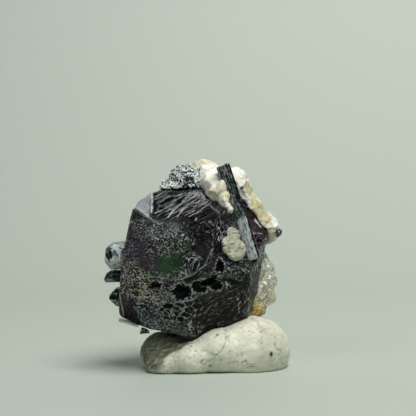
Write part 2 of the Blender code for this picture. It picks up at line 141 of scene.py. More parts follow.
def makeCamera(s):
    data = bpy.data.cameras.new("camera")
    data.lens = s["lens"]
    data.sensor_width = s["sensor"]
    data.clip_start = 0.01
    camera = putInScene("camera", data)
    down, roll = math.radians(s["lookDown"]), math.radians(s["roll"])
    forward = Vector((0, math.cos(down), -math.sin(down)))
    level, upright = Vector((1, 0, 0)), Vector((0, math.sin(down), math.cos(down)))
    right = level * math.cos(roll) - upright * math.sin(roll)
    up = upright * math.cos(roll) + level * math.sin(roll)
    distance = s["pictureWidth"] * s["mmPerPixel"] * s["lens"] / s["sensor"]
    place = Matrix((right, up, -forward)).transposed().to_4x4()
    place.translation = (Vector(s["aim"]) - forward * distance) * mm
    camera.matrix_world = place
    scene.camera = camera


makeCamera(cameraSettings)

# A pale floor that curves up into the backdrop, a large soft key light high on the right, and a weak one on the left.
studio = {
    "backdropColour": "b3bcb4",
    "floorFront": -2500,
    "floorBack": 170,
    "curveRadius": 200,
    "curveSteps": 32,
    "backdropHeight": 900,
    "halfWidth": 2500,
    "worldColour": "e4ebe4",
    "worldStrength": 0.03,
    "lights": {
        "key": {"place": (160, -230, 610), "aim": (0, 0, 25), "size": 400, "watts": 4.6, "spread": 180,
                "colour": "fffef8"},
        "left": {"place": (-380, -380, 420), "aim": (0, 0, 25), "size": 300, "watts": 0.50, "spread": 180,
                 "colour": "eef4ff"},
        "backdrop": {"place": (160, 60, 560), "aim": (60, 370, 120), "size": 300, "watts": 0.38, "spread": 100,
                     "colour": "fbfff9"},
    },
}


def pulledStrip(bm, edge, move):
    # pulls a strip out of an edge, and gives its far edge
    out = bmesh.ops.extrude_edge_only(bm, edges=[edge])["geom"]
    verts = [g for g in out if isinstance(g, bmesh.types.BMVert)]
    bmesh.ops.translate(bm, vec=move, verts=verts)
    return next(g for g in out if isinstance(g, bmesh.types.BMEdge) and set(g.verts) == set(verts))


def makeStudio(s):
    bm = bmesh.new()
    ends = [bm.verts.new((side * s["halfWidth"], s["floorFront"], 0)) for side in (-1, 1)]
    edge = pulledStrip(bm, bm.edges.new(ends), (0, s["floorBack"] - s["floorFront"], 0))
    turned = bmesh.ops.spin(bm, geom=[edge, *edge.verts], cent=(0, s["floorBack"], s["curveRadius"]), axis=(1, 0, 0),
                            angle=math.radians(90), steps=s["curveSteps"])
    edge = next(g for g in turned["geom_last"] if isinstance(g, bmesh.types.BMEdge))
    pulledStrip(bm, edge, (0, 0, s["backdropHeight"]))
    bmesh.ops.scale(bm, vec=(mm, mm, mm), verts=bm.verts)
    bmesh.ops.recalc_face_normals(bm, faces=bm.faces)
    mesh = bpy.data.meshes.new("studioFloor")
    bm.to_mesh(mesh)
    bm.free()
    mesh.shade_smooth()
    material, tree, shader = newMaterial("paintedStudioSweep", Roughness=0.6)
    shader.inputs["Base Color"].default_value = hexColour(s["backdropColour"])
    mesh.materials.append(material)
    putInScene("studioFloor", mesh)
    for name, light in s["lights"].items():
        data = bpy.data.lights.new(name, "AREA")
        data.size = light["size"] * mm
        data.energy = light["watts"]
        data.spread = math.radians(light["spread"])
        data.color = hexColour(light["colour"])[:3]
        lamp = putInScene(name, data)
        lamp.location = Vector(light["place"]) * mm
        lamp.rotation_euler = (Vector(light["aim"]) - Vector(light["place"])).to_track_quat("-Z", "Y").to_euler()
    world = bpy.data.worlds.new("studioAir")
    world.use_nodes = True
    sky = world.node_tree.nodes["Background"]
    sky.inputs["Color"].default_value = hexColour(s["worldColour"])
    sky.inputs["Strength"].default_value = s["worldStrength"]
    scene.world = world
    scene.view_settings.view_transform = "Standard"


makeStudio(studio)
print("camera and studio made")


def readPoints(mesh):
    values = np.zeros(len(mesh.vertices) * 3, np.float32)
    mesh.vertices.foreach_get("co", values)
    return values.reshape(-1, 3).astype(float) / mm


def writePoints(mesh, points):
    # nothing leaves the box of the solids
    low, high = np.array(cadBox[0]) / mm, np.array(cadBox[1]) / mm
    mesh.vertices.foreach_set("co", (np.clip(points, low, high) * mm).astype(np.float32).ravel())
    mesh.update()


def pushOut(piece, points, normals, relief):
    writePoints(piece.data, points + normals * relief[:, None])


def noiseField(points, size, octaves=1, shift=0.0):
    # fractal noise from about -1 to 1, with bumps about as wide as size
    offset = Vector((shift, shift * 0.7, -shift))
    return np.array([noise.fractal(Vector(p) / size + offset, 1.0, 2.0, octaves) for p in points])


def smoothStep(values, low, high):
    share = np.clip((values - low) / (high - low), 0, 1)
    return share * share * (3 - 2 * share)


def turnedOffset(points, x, z, turn):
    # how far right and up of a place each point is, seen from the front with the view turned by this angle
    angle = math.radians(turn)
    dx, dz = points[:, 0] - x, points[:, 2] - z
    return dx * math.cos(angle) + dz * math.sin(angle), dz * math.cos(angle) - dx * math.sin(angle)


def spotMask(points, rows, warp=0.0):
    # soft spots seen from the front, added up: x, z, half width, half height, turn and strength. They are full up
    # to 0.55 of the halves and end at 1.3.
    total = np.zeros(len(points))
    for x, z, wide, high, turn, strength in rows:
        across, up = turnedOffset(points, x, z, turn)
        total += strength * (1 - smoothStep(np.hypot(across / wide, up / high) + warp, 0.55, 1.3))
    return total


# Each copy of a solid has its points merged. Edges that turn by more degrees than this are sharp, and are
# measured from points this far apart on them.
copying = {"mergeGap": 0.002, "sharpFrom": 14, "edgeStep": 0.15}


def denseCopy(name, source, cell):
    # A merged copy of a solid in even cells that lie on the solid's own faces. It also gives each point's
    # facet direction and how far it is from the nearest sharp edge.
    bm = bmesh.new()
    bm.from_mesh(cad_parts[source].data)
    bmesh.ops.remove_doubles(bm, verts=bm.verts, dist=copying["mergeGap"] * mm)
    faces = BVHTree.FromBMesh(bm)
    sharp = []
    for edge in bm.edges:
        if edge.is_manifold and edge.calc_face_angle() > math.radians(copying["sharpFrom"]):
            a, b = (v.co / mm for v in edge.verts)
            steps = max(1, int((b - a).length / copying["edgeStep"]))
            sharp += [a.lerp(b, n / steps) for n in range(steps + 1)]
    tree = KDTree(max(1, len(sharp)))
    for number, point in enumerate(sharp or [Vector((0, 0, -1000))]):
        tree.insert(point, number)
    tree.balance()
    rough = bpy.data.meshes.new(name)
    bm.to_mesh(rough)
    bm.free()
    piece = putInScene(name, rough)
    cells = piece.modifiers.new("even cells", "REMESH")
    cells.mode = "VOXEL"
    cells.voxel_size = cell * mm
    mesh = finishedMesh(piece)
    piece.modifiers.clear()
    piece.data = mesh
    bpy.data.meshes.remove(rough)
    mesh.name = name
    hits = [faces.find_nearest(Vector(p) * mm) for p in readPoints(mesh)]
    points = np.array([hit[0] for hit in hits]) / mm
    normals = np.array([hit[1] for hit in hits])
    edgeGap = np.array([tree.find(Vector(p))[2] for p in points])
    return piece, points, normals, edgeGap


def smoothed(piece, points, rounds):
    # the points after some rounds of smoothing, in millimetres, and the surface's directions there
    writePoints(piece.data, points)
    bm = bmesh.new()
    bm.from_mesh(piece.data)
    for _ in range(rounds):
        bmesh.ops.smooth_vert(bm, verts=bm.verts, factor=0.5, use_axis_x=True, use_axis_y=True, use_axis_z=True)
    bm.normal_update()
    points, normals = np.array([v.co[:] for v in bm.verts]), np.array([v.normal[:] for v in bm.verts])
    bm.free()
    return points / mm, normals


def addZones(mesh, name, *channels):
    layer = mesh.color_attributes.new(name=name, type="FLOAT_COLOR", domain="POINT")
    size = len(mesh.vertices)
    rows = [c * np.ones(size) for c in channels] + [np.zeros(size)] * (3 - len(channels))
    layer.data.foreach_set("color", np.stack(rows + [np.ones(size)], 1).astype(np.float32).ravel())


def addSurfaceMap(mesh, along, across):
    layer = mesh.uv_layers.new(name="surfaceMap")
    corners = np.zeros(len(mesh.loops), int)
    mesh.loops.foreach_get("vertex_index", corners)
    layer.data.foreach_set("uv", np.stack([along[corners], across[corners]], 1).astype(np.float32).ravel())


def dropLooseBits(mesh, fewestFaces=60):
    # remeshing and joining can leave a few slivers apart from the piece
    bm = bmesh.new()
    bm.from_mesh(mesh)
    seen, loose = set(), []
    for face in bm.faces:
        if face in seen:
            continue
        seen.add(face)
        island = [face]
        for member in island:
            near = {other for edge in member.edges for other in edge.link_faces} - seen
            seen |= near
            island.extend(near)
        if len(island) < fewestFaces:
            loose.extend(island)
    if loose:
        bmesh.ops.delete(bm, geom=loose, context="FACES")
        bm.to_mesh(mesh)
    bm.free()


def placePiece(piece, material, slot, *nodes):
    if "schorl_druse" not in nodes:  # whose crystals stand in their bed, each a shell of its own
        dropLooseBits(piece.data)
    piece.data.materials.clear()
    piece.data.materials.append(material)
    piece.data.shade_smooth()
    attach(piece, "root")
    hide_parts(*nodes)
    print(piece.name, "made:", len(piece.data.polygons), "faces")


# The fluorite. Each facet is given by how far it is turned to the right of the viewer and tipped up, then how much
# frost it has, which way its growth lines run, how deep and how many times longer than usual they are. Places on
# it are across and up, seen from the front, with half widths, a turn and a strength.
fluorite = {
    "cell": 0.21,
    "smoothing": 3,
    "sameFacet": 0.995,  # the cosine to a facet's own direction
    "grainSize": 0.50,
    "grainDepth": 0.045,
    "waveSize": 5.0,
    "waveDepth": 0.10,
    "patchSize": 2.6,
    "wobbleSize": 1.4,
    "spotWarp": 0.4,
    "lineSpacing": 0.55,
    "lineLength": 3.0,
    "swirlLength": 3.0,
    "swirlSpacing": 1.3,
    "pitDepth": 0.5,
    "pitRaggedness": (0.26, 0.30),
    "rimAt": 1.08,
    "rimWidth": (0.03, 0.11),
    "needleBend": 0.16,
    "needleHeight": 0.06,
    "chipDepth": 0.12,
    "chipWidth": 0.5,
    "edgeHighlightWidth": (0.05, 0.28),
    "frostPatches": 0.16,
    "facets": {
        "frontUpper": (-12, 27, 0.49, 66, 0.030, 0.6),
        "frontRight": (37, 17, 0.44, 80, 0.060, 1.0),
        "frontBand": (26, -12, 0.62, 12, 0.030, 1.0),
        "lowerLeft": (-26, -30, 0.82, 10, 0.030, 1.0),
        "lowerRight": (19, -25, 0.52, 34, 0.035, 1.2),
        "lowerLeftCorner": (-40, -31, 0.40, 82, 0.015, 1.0),
        "stripedTop": (-10, 46, 0.30, 36, 0.060, 2.6),
        "upperRight": (63, 36, 0.26, 60, 0.060, 1.0),
        "rightSide": (72, -10, 1.00, 88, 0.070, 2.0),
        "rightBehind": (101, -13, 0.90, 88, 0.060, 2.0),
        # this facet's strong frost is a painted reflection of the lamp
        "bright": (-36, 42, 1.80, 84, 0.010, 1.0),
    },
    "otherFacet": (0.60, 70, 0.040, 1.4),
    "stripedFrom": (-14.3, 36.0),
    "frostSpots": [
        (-11.4, 33.6, 4.4, 2.3, 4, 0.42), (-8.8, 35.9, 1.5, 2, 0, 0.22), (-3.2, 35, 4.8, 4.8, 0, -0.22),
        (-1.4, 29.4, 2.8, 3.4, 0, -0.24), (-16, 28.2, 3.4, 2.6, 0, -0.02),
        (-10.6, 25.8, 2.8, 2.2, 20, 0.12), (-4.2, 26.6, 2.6, 2, 20, -0.05), (-11.6, 43.5, 1.9, 0.5, 8, 0.7),
        (-3.6, 25.4, 2, 1.2, 32, -0.4), (-5.6, 22.9, 2, 0.6, 16, -0.3), (-10.2, 21.5, 1.5, 0.8, 20, -0.26),
        (1.9, 33, 0.8, 2.6, -4, 0.34), (3.6, 36.6, 1.8, 2, 0, -0.12), (10.6, 30.8, 2.2, 2.4, 0, -0.12),
        (-11.6, 42, 4.6, 2.4, 12, -0.06), (-7.2, 40.4, 4, 1.6, 30, 0.36), (-6, 36.8, 2.6, 1.2, 20, -0.12),
        (-1.8, 41.8, 4.2, 2, 4, 0.95), (2.2, 40.2, 2.6, 0.9, -30, 0.35), (-13.55, 40.1, 0.32, 2.2, 0, -2),
        (-19.4, 21.4, 4.4, 3.6, -10, 0.36), (-15.6, 18.2, 3.8, 2.2, -30, 0.26), (-13.8, 11.2, 3, 1.4, -12, 0.34),
        (-8.6, 9.8, 3.6, 1.4, -10, 0.16), (-4.4, 9.6, 1.8, 1.2, 30, 0.2), (-15.2, 14.2, 2.8, 2.4, 0, -0.18),
        (3.2, 21, 0.9, 0.8, 0, 0.85), (5.4, 25.4, 3.3, 2, -8, 0.16), (5, 21.5, 3.7, 0.4, -11, -1.3),
        (8.4, 20.2, 1.2, 2.6, 0, -0.1), (5.9, 15.6, 0.22, 1.9, 0, 0.7), (7.3, 15.4, 1, 3, 0, 0.1),
        (0, 13.2, 5, 2.4, 30, -0.1), (-4.4, 18.2, 1.2, 0.5, 20, 0.5),
    ],
    "purpleSpots": [
        (-17.6, 30.2, 2.8, 3.4, 0, 0.34), (-14.6, 26.5, 2.4, 1.8, 0, 0.3), (-1.8, 41.9, 4.6, 2.2, 0, 0.3),
        (-10.2, 21.5, 1.6, 0.8, 20, 0.75), (-21, 15.5, 2.2, 5, 14, 0.45), (10.2, 34, 3.4, 4.2, 0, 0.7),
        (6.2, 31, 1, 4, -14, 0.4), (-3.4, 25.8, 3.2, 1.8, 0, 0.12), (-17, 40, 3.4, 2.6, 0, 0.14),
        (-7.5, 19.6, 2.6, 2.2, 0, 0.4),
    ],
    "greenSpots": [
        (-10.8, 25.7, 3, 2.4, 24, 0.9), (-7.6, 28.9, 3.2, 2.4, 40, 0.4), (-3.6, 22.8, 3.6, 1.2, 10, 0.35),
        (0.2, 20.9, 2, 1.2, 0, 0.25),
    ],
    "rustSpots": [
        (-13.8, 21, 1.9, 1, 22, 0.85), (-20.4, 21, 1.1, 0.2, 10, 0.7), (-18.9, 21.4, 0.9, 0.22, 55, 0.7),
        (-19.2, 20.2, 1, 0.18, -20, 0.55), (-17.2, 19.4, 0.8, 0.18, 30, 0.45), (-19.3, 26.4, 1.8, 1.2, 0, 0.26),
        (-17, 33.2, 2.4, 2.4, 0, 0.04), (-5.8, 23.6, 1, 0.4, 0, 0.3), (9.4, 37.4, 0.5, 0.8, 0, 0.6),
        (10.6, 35.6, 0.6, 0.8, -30, 0.65), (12.4, 32.6, 0.5, 0.5, 0, 0.6), (7.2, 12.4, 2.4, 0.3, 8, 0.6),
    ],
    "tanSpots": [
        (-18.8, 20.6, 5.4, 4.6, -10, 0.85), (-14, 17.6, 3, 2.6, 0, 0.4), (-5, 9.6, 5, 1.6, 0, 0.5),
        (-10.6, 37.6, 5, 2.4, 30, 0.3), (-1, 41.2, 5, 3, 0, 0.3), (0.6, 15.6, 7, 5, 30, 0.3),
        (-7.6, 23.6, 2.6, 0.7, 0, 0.6),
    ],
    "blueSpots": [
        (-10.8, 34, 4.6, 3, 10, 0.42), (-12.6, 42.9, 2.2, 0.8, 8, 1), (-15.4, 13.9, 3.6, 3.4, 0, 0.55),
        (-4, 26.4, 3.4, 2.4, 0, 0.5), (-17, 40, 3.4, 3, 0, 0.6), (5.4, 24.6, 4, 3, 0, 0.4),
    ],
    "strokeSpots": [
        (-2.6, 35, 4.6, 5, 0, 1), (-9, 39.6, 7, 3.6, 20, 1), (1.2, 31.8, 1.6, 5, -4, 1),
        (-4.2, 26.6, 3.4, 2.8, 0, 1), (0.8, 15.6, 8.5, 5.5, 30, 0.75), (10.6, 19, 2.2, 8, 0, 1),
        (-7.6, 10, 5.5, 2, 0, 0.6),
    ],
    "drusySpots": [
        (-18.2, 20, 6, 5.2, -20, 1), (-15.4, 13.9, 3.6, 3.2, 0, 0.25), (5.6, 24.8, 3.6, 2.6, -8, 0.5),
        (3.2, 21, 1.2, 1.1, 0, 1), (-8, 19, 5, 3, 0, 0.6), (10.8, 33, 3.4, 5.6, 0, 0.9), (-5, 9.6, 5, 1.6, 0, 0.5),
    ],
    "clearSpots": [
        (-10.4, 25.9, 3.6, 2.6, 20, 0.8), (-14.6, 26.2, 3.4, 2, 0, 0.6), (-11.2, 33.8, 4.2, 2.4, 4, 0.66),
        (-8.8, 35.9, 1.6, 2, 0, 0.5), (-17.6, 31, 3, 5, -8, 0.35), (-16.8, 40.2, 3, 3.4, 0, 1),
        (-1.8, 42, 4, 1.7, 0, 0.75), (1, 15.4, 7.4, 4.8, 32, 0.32),
    ],
    "combSpots": [
        (-7.2, 15.1, 5, 2.5, 8, 1.2), (-11.8, 16.2, 2.6, 1.6, -20, 0.6), (-10.2, 12, 3, 1.6, 0, 0.4),
        (-3.6, 11.8, 1.6, 1.8, 0, 0.3),
    ],
    "fadedEdgeHighlights": [(-3.5, 35.4, 9.5, 2.2, 0, 1), (1.6, 15.4, 9, 5.6, 30, 1)],
    "swirls": [(-4.4, 25.6, 4.4, 1, 0), (0.9, 14.6, 9, 2.3, 34)],
    "bigPits": [
        (-7.45, 19.5, 2.55, 2.1, 10), (-3.2, 20.7, 2, 1.7, 0), (-1.2, 22, 2.6, 0.8, 28), (0.3, 20.9, 2, 1.3, -12),
        (1.5, 25.2, 1.05, 1.95, 0), (-10.9, 15.9, 1.5, 0.7, 12), (-13.7, 21, 1.9, 0.9, 22),
    ],
    "needles": [
        (-10.5, 36.7, -8.4, 39.1, 0.13, 1), (-13.6, 37.6, -9.2, 39.7, 0.1, 0.8),
        (-9.6, 37.9, -6.4, 40.6, 0.13, 0.95), (-6.9, 40.4, -5.7, 41.4, 0.2, 0.9),
        (-8.4, 36.8, -5.6, 39.8, 0.12, 0.75), (-14.45, 38, -14.5, 41.9, 0.24, 1.2),
        (-18.8, 39.3, -14.6, 36.5, 0.12, 0.75), (-14.6, 36.6, -12.4, 35, 0.1, 0.5),
        (-7.1, 32.7, -6.9, 32.8, 0.2, 0.95), (-4, 36.1, -3.7, 36.5, 0.16, 0.5),
        (-6.8, 38.4, -4.3, 40.1, 0.12, 0.45), (-4.3, 40.1, -0.6, 39.3, 0.12, 0.5),
        (-0.6, 39.3, 1.5, 37.6, 0.12, 0.4), (-22.6, 20.4, -21.9, 12.8, 0.14, 0.7),
        (-4.7, 30.5, -4.5, 30.8, 0.18, 0.55), (-6.5, 24.2, -6, 23.6, 0.14, 0.6),
        (-17.2, 23.8, -13.8, 23.1, 0.1, 0.4), (-13.8, 23.1, -7.9, 22.6, 0.11, 0.45),
        (-7.9, 22.6, -4.6, 23.8, 0.11, 0.5), (-4.6, 23.8, -1.8, 26, 0.11, 0.45), (-1.8, 26, -0.4, 29.4, 0.09, 0.3),
        (-5, 25, -4.4, 27, 0.1, 0.35), (-4.4, 27, -3.2, 27.8, 0.1, 0.4), (-3.2, 27.8, -2.6, 27.2, 0.12, 0.4),
        (-3.9, 24.8, -3.2, 26.3, 0.1, 0.4), (9.3, 38, 10, 36.9, 0.12, 0.45), (10.6, 37.2, 11.1, 36.3, 0.12, 0.55),
        (10.2, 35.3, 11.5, 33.6, 0.18, 0.75), (11.3, 34.7, 12.3, 33.2, 0.14, 0.65),
        (10.7, 32.5, 11.8, 31.9, 0.1, 0.45),
    ],
    "moreNeedles": {"count": 44, "middle": (-8.4, 39.4), "spread": (5.6, 2.7), "turn": (20, 34),
                    "lengths": (1.0, 4.4), "halfWidth": 0.06, "strengths": (0.10, 0.75), "seed": 3},
}


def needleMask(points, needles):
    # thin straight lines seen from the front: x and z of both ends, half width and strength
    total = np.zeros(len(points))
    for x0, z0, x1, z1, halfWidth, strength in needles:
        way = np.array([x1 - x0, z1 - z0])
        offset = points[:, [0, 2]] - (x0, z0)
        along = np.clip(offset @ way / (way @ way), 0, 1)
        gap = np.linalg.norm(offset - along[:, None] * way, axis=1)
        total = np.maximum(total, strength * (1 - smoothStep(gap, halfWidth * 0.5, halfWidth * 1.6)))
    return total


def makeFluorite(s):
    piece, points, normals, edgeGap = denseCopy("fluoriteCrystal", "fluorite_crystal", s["cell"])
    points, softNormals = smoothed(piece, points, s["smoothing"])
    count = len(points)
    frost, turn, depth, stretch = (np.full(count, float(value)) for value in s["otherFacet"])
    number = np.zeros(count)
    facing = {}
    for place, (name, (side, tip, *look)) in enumerate(s["facets"].items()):
        a, b = math.radians(side), math.radians(tip)
        direction = np.array([math.sin(a) * math.cos(b), -math.cos(a) * math.cos(b), math.sin(b)])
        facing[name] = normals @ direction > s["sameFacet"]
        for values, value in zip((frost, turn, depth, stretch), look):
            values[facing[name]] = value
        number[facing[name]] = place + 1
    # the small steps in the striped top look like the rest of it
    fromX, fromZ = s["stripedFrom"]
    steps = (points[:, 0] > fromX) & (points[:, 2] > fromZ) & (facing["bright"] | (number == 0))
    for values, value in zip((frost, turn, depth, stretch), s["facets"]["stripedTop"][2:]):
        values[steps] = value
    front = normals[:, 1] < 0.05

    grain = noiseField(points, s["grainSize"], 3)
    wave = noiseField(points, s["waveSize"], 2, 5.0)
    patches = noiseField(points, s["patchSize"], 3, 11.0)
    wobble = noiseField(points, s["wobbleSize"], 2, 23.0)
    warp = s["spotWarp"] * patches

    # growth lines run straight over each facet, and round the middle of a swirl
    level = np.cross((0, 0, 1), normals)
    level /= np.maximum(np.linalg.norm(level, axis=1), 1e-6)[:, None]
    upright = np.cross(normals, level)
    across, up = (points * level).sum(1), (points * upright).sum(1)
    angle = np.radians(turn)
    alongLines = (across * np.cos(angle) + up * np.sin(angle)) / stretch + number * 31  # no two facets share lines
    acrossLines = up * np.cos(angle) - across * np.sin(angle) + (0.35 * wobble + 0.25 * patches) / stretch
    for x, z, reach, wide, turnBy in s["swirls"]:
        right, above = turnedOffset(points, x, z, turnBy)
        away = np.hypot(right / wide, above)
        share = (1 - smoothStep(away * math.sqrt(wide), reach * 0.65, reach)) * front
        alongLines = alongLines * (1 - share) + share * np.arctan2(above, right / wide) * s["swirlLength"]
        acrossLines = acrossLines * (1 - share) + share * (away * s["swirlSpacing"] + 0.3 * wobble + 0.2 * patches)
    lineSpace = np.stack([alongLines / s["lineLength"], acrossLines / s["lineSpacing"], number], 1)
    lines = noiseField(lineSpace, 1.0, 2)

    pit, pitDepth, paintedHighlight = np.zeros(count), np.zeros(count), np.zeros(count)
    raggedFar, raggedNear = s["pitRaggedness"]
    pitty = front & (normals[:, 2] < 0.35)  # the top has no large pits
    for x, z, wide, high, turnBy in s["bigPits"]:
        right, above = turnedOffset(points, x, z, turnBy)
        reach = np.hypot(right / wide, above / high) + raggedFar * wobble + raggedNear * grain + np.where(pitty, 0, 9)
        inside = 1 - smoothStep(reach, 0.86, 1.0)
        # the pits' rims get a painted highlight
        ring = (1 - smoothStep(np.abs(reach - s["rimAt"]), *s["rimWidth"])) * np.clip(0.80 + 1.3 * grain, 0, 1)
        paintedHighlight = np.maximum(paintedHighlight * (1 - 0.8 * inside), ring)
        pit = np.maximum(pit, inside)
        pitDepth = np.maximum(pitDepth, s["pitDepth"] * inside * (1 + 0.8 * grain))

    more, needles = s["moreNeedles"], list(s["needles"])
    chance = random.Random(more["seed"])
    for _ in range(more["count"]):
        x, z = (m + chance.uniform(-w, w) for m, w in zip(more["middle"], more["spread"]))
        slope, length = math.radians(chance.uniform(*more["turn"])), chance.uniform(*more["lengths"])
        needles.append((x, z, x + length * math.cos(slope), z + length * math.sin(slope), more["halfWidth"],
                        chance.uniform(*more["strengths"])))
    bent = points + (s["needleBend"] * wobble)[:, None]
    # bright lines, mostly on the striped top, raised a little and painted light as highlights
    ridgeHighlight = np.where(front, needleMask(bent, needles), 0) * np.clip(0.9 + 0.8 * grain, 0, 1.2)

    def spots(name, behind=0.0, share=1.0):
        return np.where(front, spotMask(points, s[name], warp * share), behind)

    frost = np.clip(frost + spots("frostSpots") + s["frostPatches"] * patches, 0.02, 2.2)
    # painted highlights along the sharp edges, taken out in a few places
    edge = (1 - smoothStep(edgeGap, *s["edgeHighlightWidth"])) * np.clip(0.10 + 0.9 * grain * patches, 0, 0.4)
    edge *= 1 - np.clip(spotMask(points, s["fadedEdgeHighlights"]), 0, 1)
    shades = {name: np.clip(spots(name + "Spots", behind, share), 0, 1) for name, behind, share in (
        ("purple", 0.25 + 0.3 * wave, 1.0), ("green", 0.0, 0.7), ("rust", 0.0, 1.5),
        ("stroke", 0.5 + 0.5 * wave, 1.0), ("drusy", 0.3 + 0.6 * wave, 1.0), ("clear", 0.0, 0.6),
        ("tan", 0.2, 1.0), ("blue", 0.0, 1.0), ("comb", 0.0, 0.8))}

    relief = grain * s["grainDepth"] * (0.2 + 0.7 * frost) * (1 - 0.8 * shades["clear"]) + wave * s["waveDepth"]
    relief += lines * depth * (1 - 0.5 * shades["clear"]) * (0.6 + shades["stroke"]) - pitDepth
    relief += s["needleHeight"] * ridgeHighlight
    relief -= s["chipDepth"] * (1 - smoothStep(edgeGap, 0.0, s["chipWidth"])) * np.clip(wobble, 0, 1)
    pushOut(piece, points, softNormals, relief)
    light = np.clip(np.maximum(np.maximum(paintedHighlight, ridgeHighlight), edge), 0, 1)
    addZones(piece.data, "zones", frost, np.clip(pit, 0, 1), light)
    addZones(piece.data, "tints", shades["purple"], shades["green"], shades["rust"])
    addZones(piece.data, "grains", shades["stroke"], shades["drusy"], shades["clear"])
    addZones(piece.data, "hues", shades["tan"], shades["blue"], shades["comb"])
    addSurfaceMap(piece.data, alongLines, acrossLines)
    return piece


def etchedFluorite():
    # Fluorite, grown in water and later etched: glassy and nearly black where it is fresh, with a matt grey frost
    # of tiny pits and steps over it that catches the light.
    material, tree, shader = newMaterial("etchedFluorite", IOR=1.434, Specular_IOR_Level=0.16)
    place = addNode(tree, "TexCoord").outputs["Object"]
    lines = addNode(tree, "UVMap", uv_map="surfaceMap")
    masks = readMasks(tree, "zones", "tints", "grains", "hues")
    frost, pit, paintedHighlight, purple, green, rust, strokes, drusy, clear, tan, blue, comb = masks
    # etch pits of 0.2 to 0.4 mm, drawn as coarse as they need to show
    grain = addNode(tree, "TexNoise", {"Scale": perMm(0.40), "Detail": 2.0, "Roughness": 0.75}, {"Vector": place})
    grainy = addNode(tree, "MapRange", {"From Min": 0.42, "From Max": 0.62, "To Min": -1.15, "To Max": 1.9},
                     {"Value": grain})
    # small etch faces that happen to face the light, 0.3 mm wide
    points = addNode(tree, "TexVoronoi", {"Scale": perMm(0.75)}, {"Vector": place})
    chance = addNode(tree, "SeparateColor", links={"Color": points.outputs["Color"]})
    chosen = addNode(tree, "MapRange", {"From Min": 0.66, "From Max": 0.95}, {"Value": chance})
    dot = addNode(tree, "MapRange", {"From Min": 0.16, "From Max": 0.34, "To Min": 1.0, "To Max": 0.0},
                  {"Value": points.outputs["Distance"]})
    glint = addNode(tree, "Math", links={0: chosen, 1: dot}, operation="MULTIPLY")
    # growth lines: strokes about 1.3 mm long and 0.5 mm wide along the surface map
    stretched = addNode(tree, "Mapping", {"Scale": (0.80, 2.15, 1.0)}, {"Vector": lines})
    stroke = addNode(tree, "TexNoise", {"Scale": 1.0, "Detail": 1.5, "Roughness": 0.6}, {"Vector": stretched})
    stroked = addNode(tree, "MapRange", {"From Min": 0.48, "From Max": 0.64, "To Min": -1.0, "To Max": 3.0},
                      {"Value": stroke})
    # tiny crystal faces of 0.4 mm, each painted a shade of its own as if turned its own way to the light, few of them
    # bright
    faces = addNode(tree, "TexVoronoi", {"Scale": perMm(0.38)}, {"Vector": place})
    shade = addNode(tree, "SeparateColor", links={"Color": faces.outputs["Color"]})
    rarer = addNode(tree, "Math", {1: 2.4}, {0: shade}, operation="POWER")
    faceted = addNode(tree, "MapRange", {"To Min": -1.1, "To Max": 3.4}, {"Value": rarer})
    lined = addNode(tree, "Mix", links={"Factor": strokes, "A": grainy, "B": stroked}, data_type="FLOAT")
    mixed = addNode(tree, "Mix", links={"Factor": drusy, "A": lined, "B": faceted}, data_type="FLOAT")
    # etched hollows side by side, 2.2 mm wide and half as high, with thin light walls left between them
    bends = addNode(tree, "TexNoise", {"Scale": perMm(1.0), "Detail": 2.0}, {"Vector": place})
    bent = addNode(tree, "VectorMath", {1: (1.1 * mm,) * 3},
                   {0: bends.outputs["Color"], 2: place}, operation="MULTIPLY_ADD")
    squeezed = addNode(tree, "Mapping", {"Scale": (perMm(2.2), perMm(2.2), perMm(1.25))}, {"Vector": bent})
    walls = addNode(tree, "TexVoronoi", {"Scale": 1.0}, {"Vector": squeezed}, feature="DISTANCE_TO_EDGE")
    hollows = addNode(tree, "TexVoronoi", {"Scale": 1.0}, {"Vector": squeezed})
    depths = addNode(tree, "SeparateColor", links={"Color": hollows.outputs["Color"]})
    floors = addNode(tree, "MapRange", {"From Min": 0.74, "From Max": 0.95, "To Min": -1.0, "To Max": 0.1},
                     {"Value": depths})
    wall = addNode(tree, "MapRange", {"From Min": 0.03, "From Max": 0.10, "To Min": 1.0, "To Max": 0.0},
                   {"Value": walls})
    raised = addNode(tree, "Math", {1: 0.9, 2: 1.8}, {0: faceted}, operation="MULTIPLY_ADD")
    combed = addNode(tree, "Mix", links={"Factor": wall, "A": floors, "B": raised}, data_type="FLOAT")
    ground = addNode(tree, "Mix", links={"Factor": comb, "A": mixed, "B": combed}, data_type="FLOAT")
    etched = addNode(tree, "Math", {1: 2.2}, {0: glint, 2: ground}, operation="MULTIPLY_ADD")
    calm = addNode(tree, "MapRange", {"To Min": 1.0, "To Max": 0.18}, {"Value": clear})
    pattern = addNode(tree, "Math", links={0: etched, 1: calm}, operation="MULTIPLY")
    half = addNode(tree, "Math", {1: 0.5}, {0: frost}, operation="MULTIPLY")
    amount = addNode(tree, "Math", links={0: half, 1: pattern, 2: half}, operation="MULTIPLY_ADD", use_clamp=True)
    colour = addNode(tree, "ValToRGB", links={"Fac": amount}, stops=[
        (0.0, "060607"), (1.0, "b2b6b4"), (0.25, "1e1e20"), (0.50, "464949")])
    # painted shade: the pits are painted near black, apart from a few glints
    pitShade = addNode(tree, "Math", {1: -0.8}, {0: glint, 2: pit}, operation="MULTIPLY_ADD", use_clamp=True)
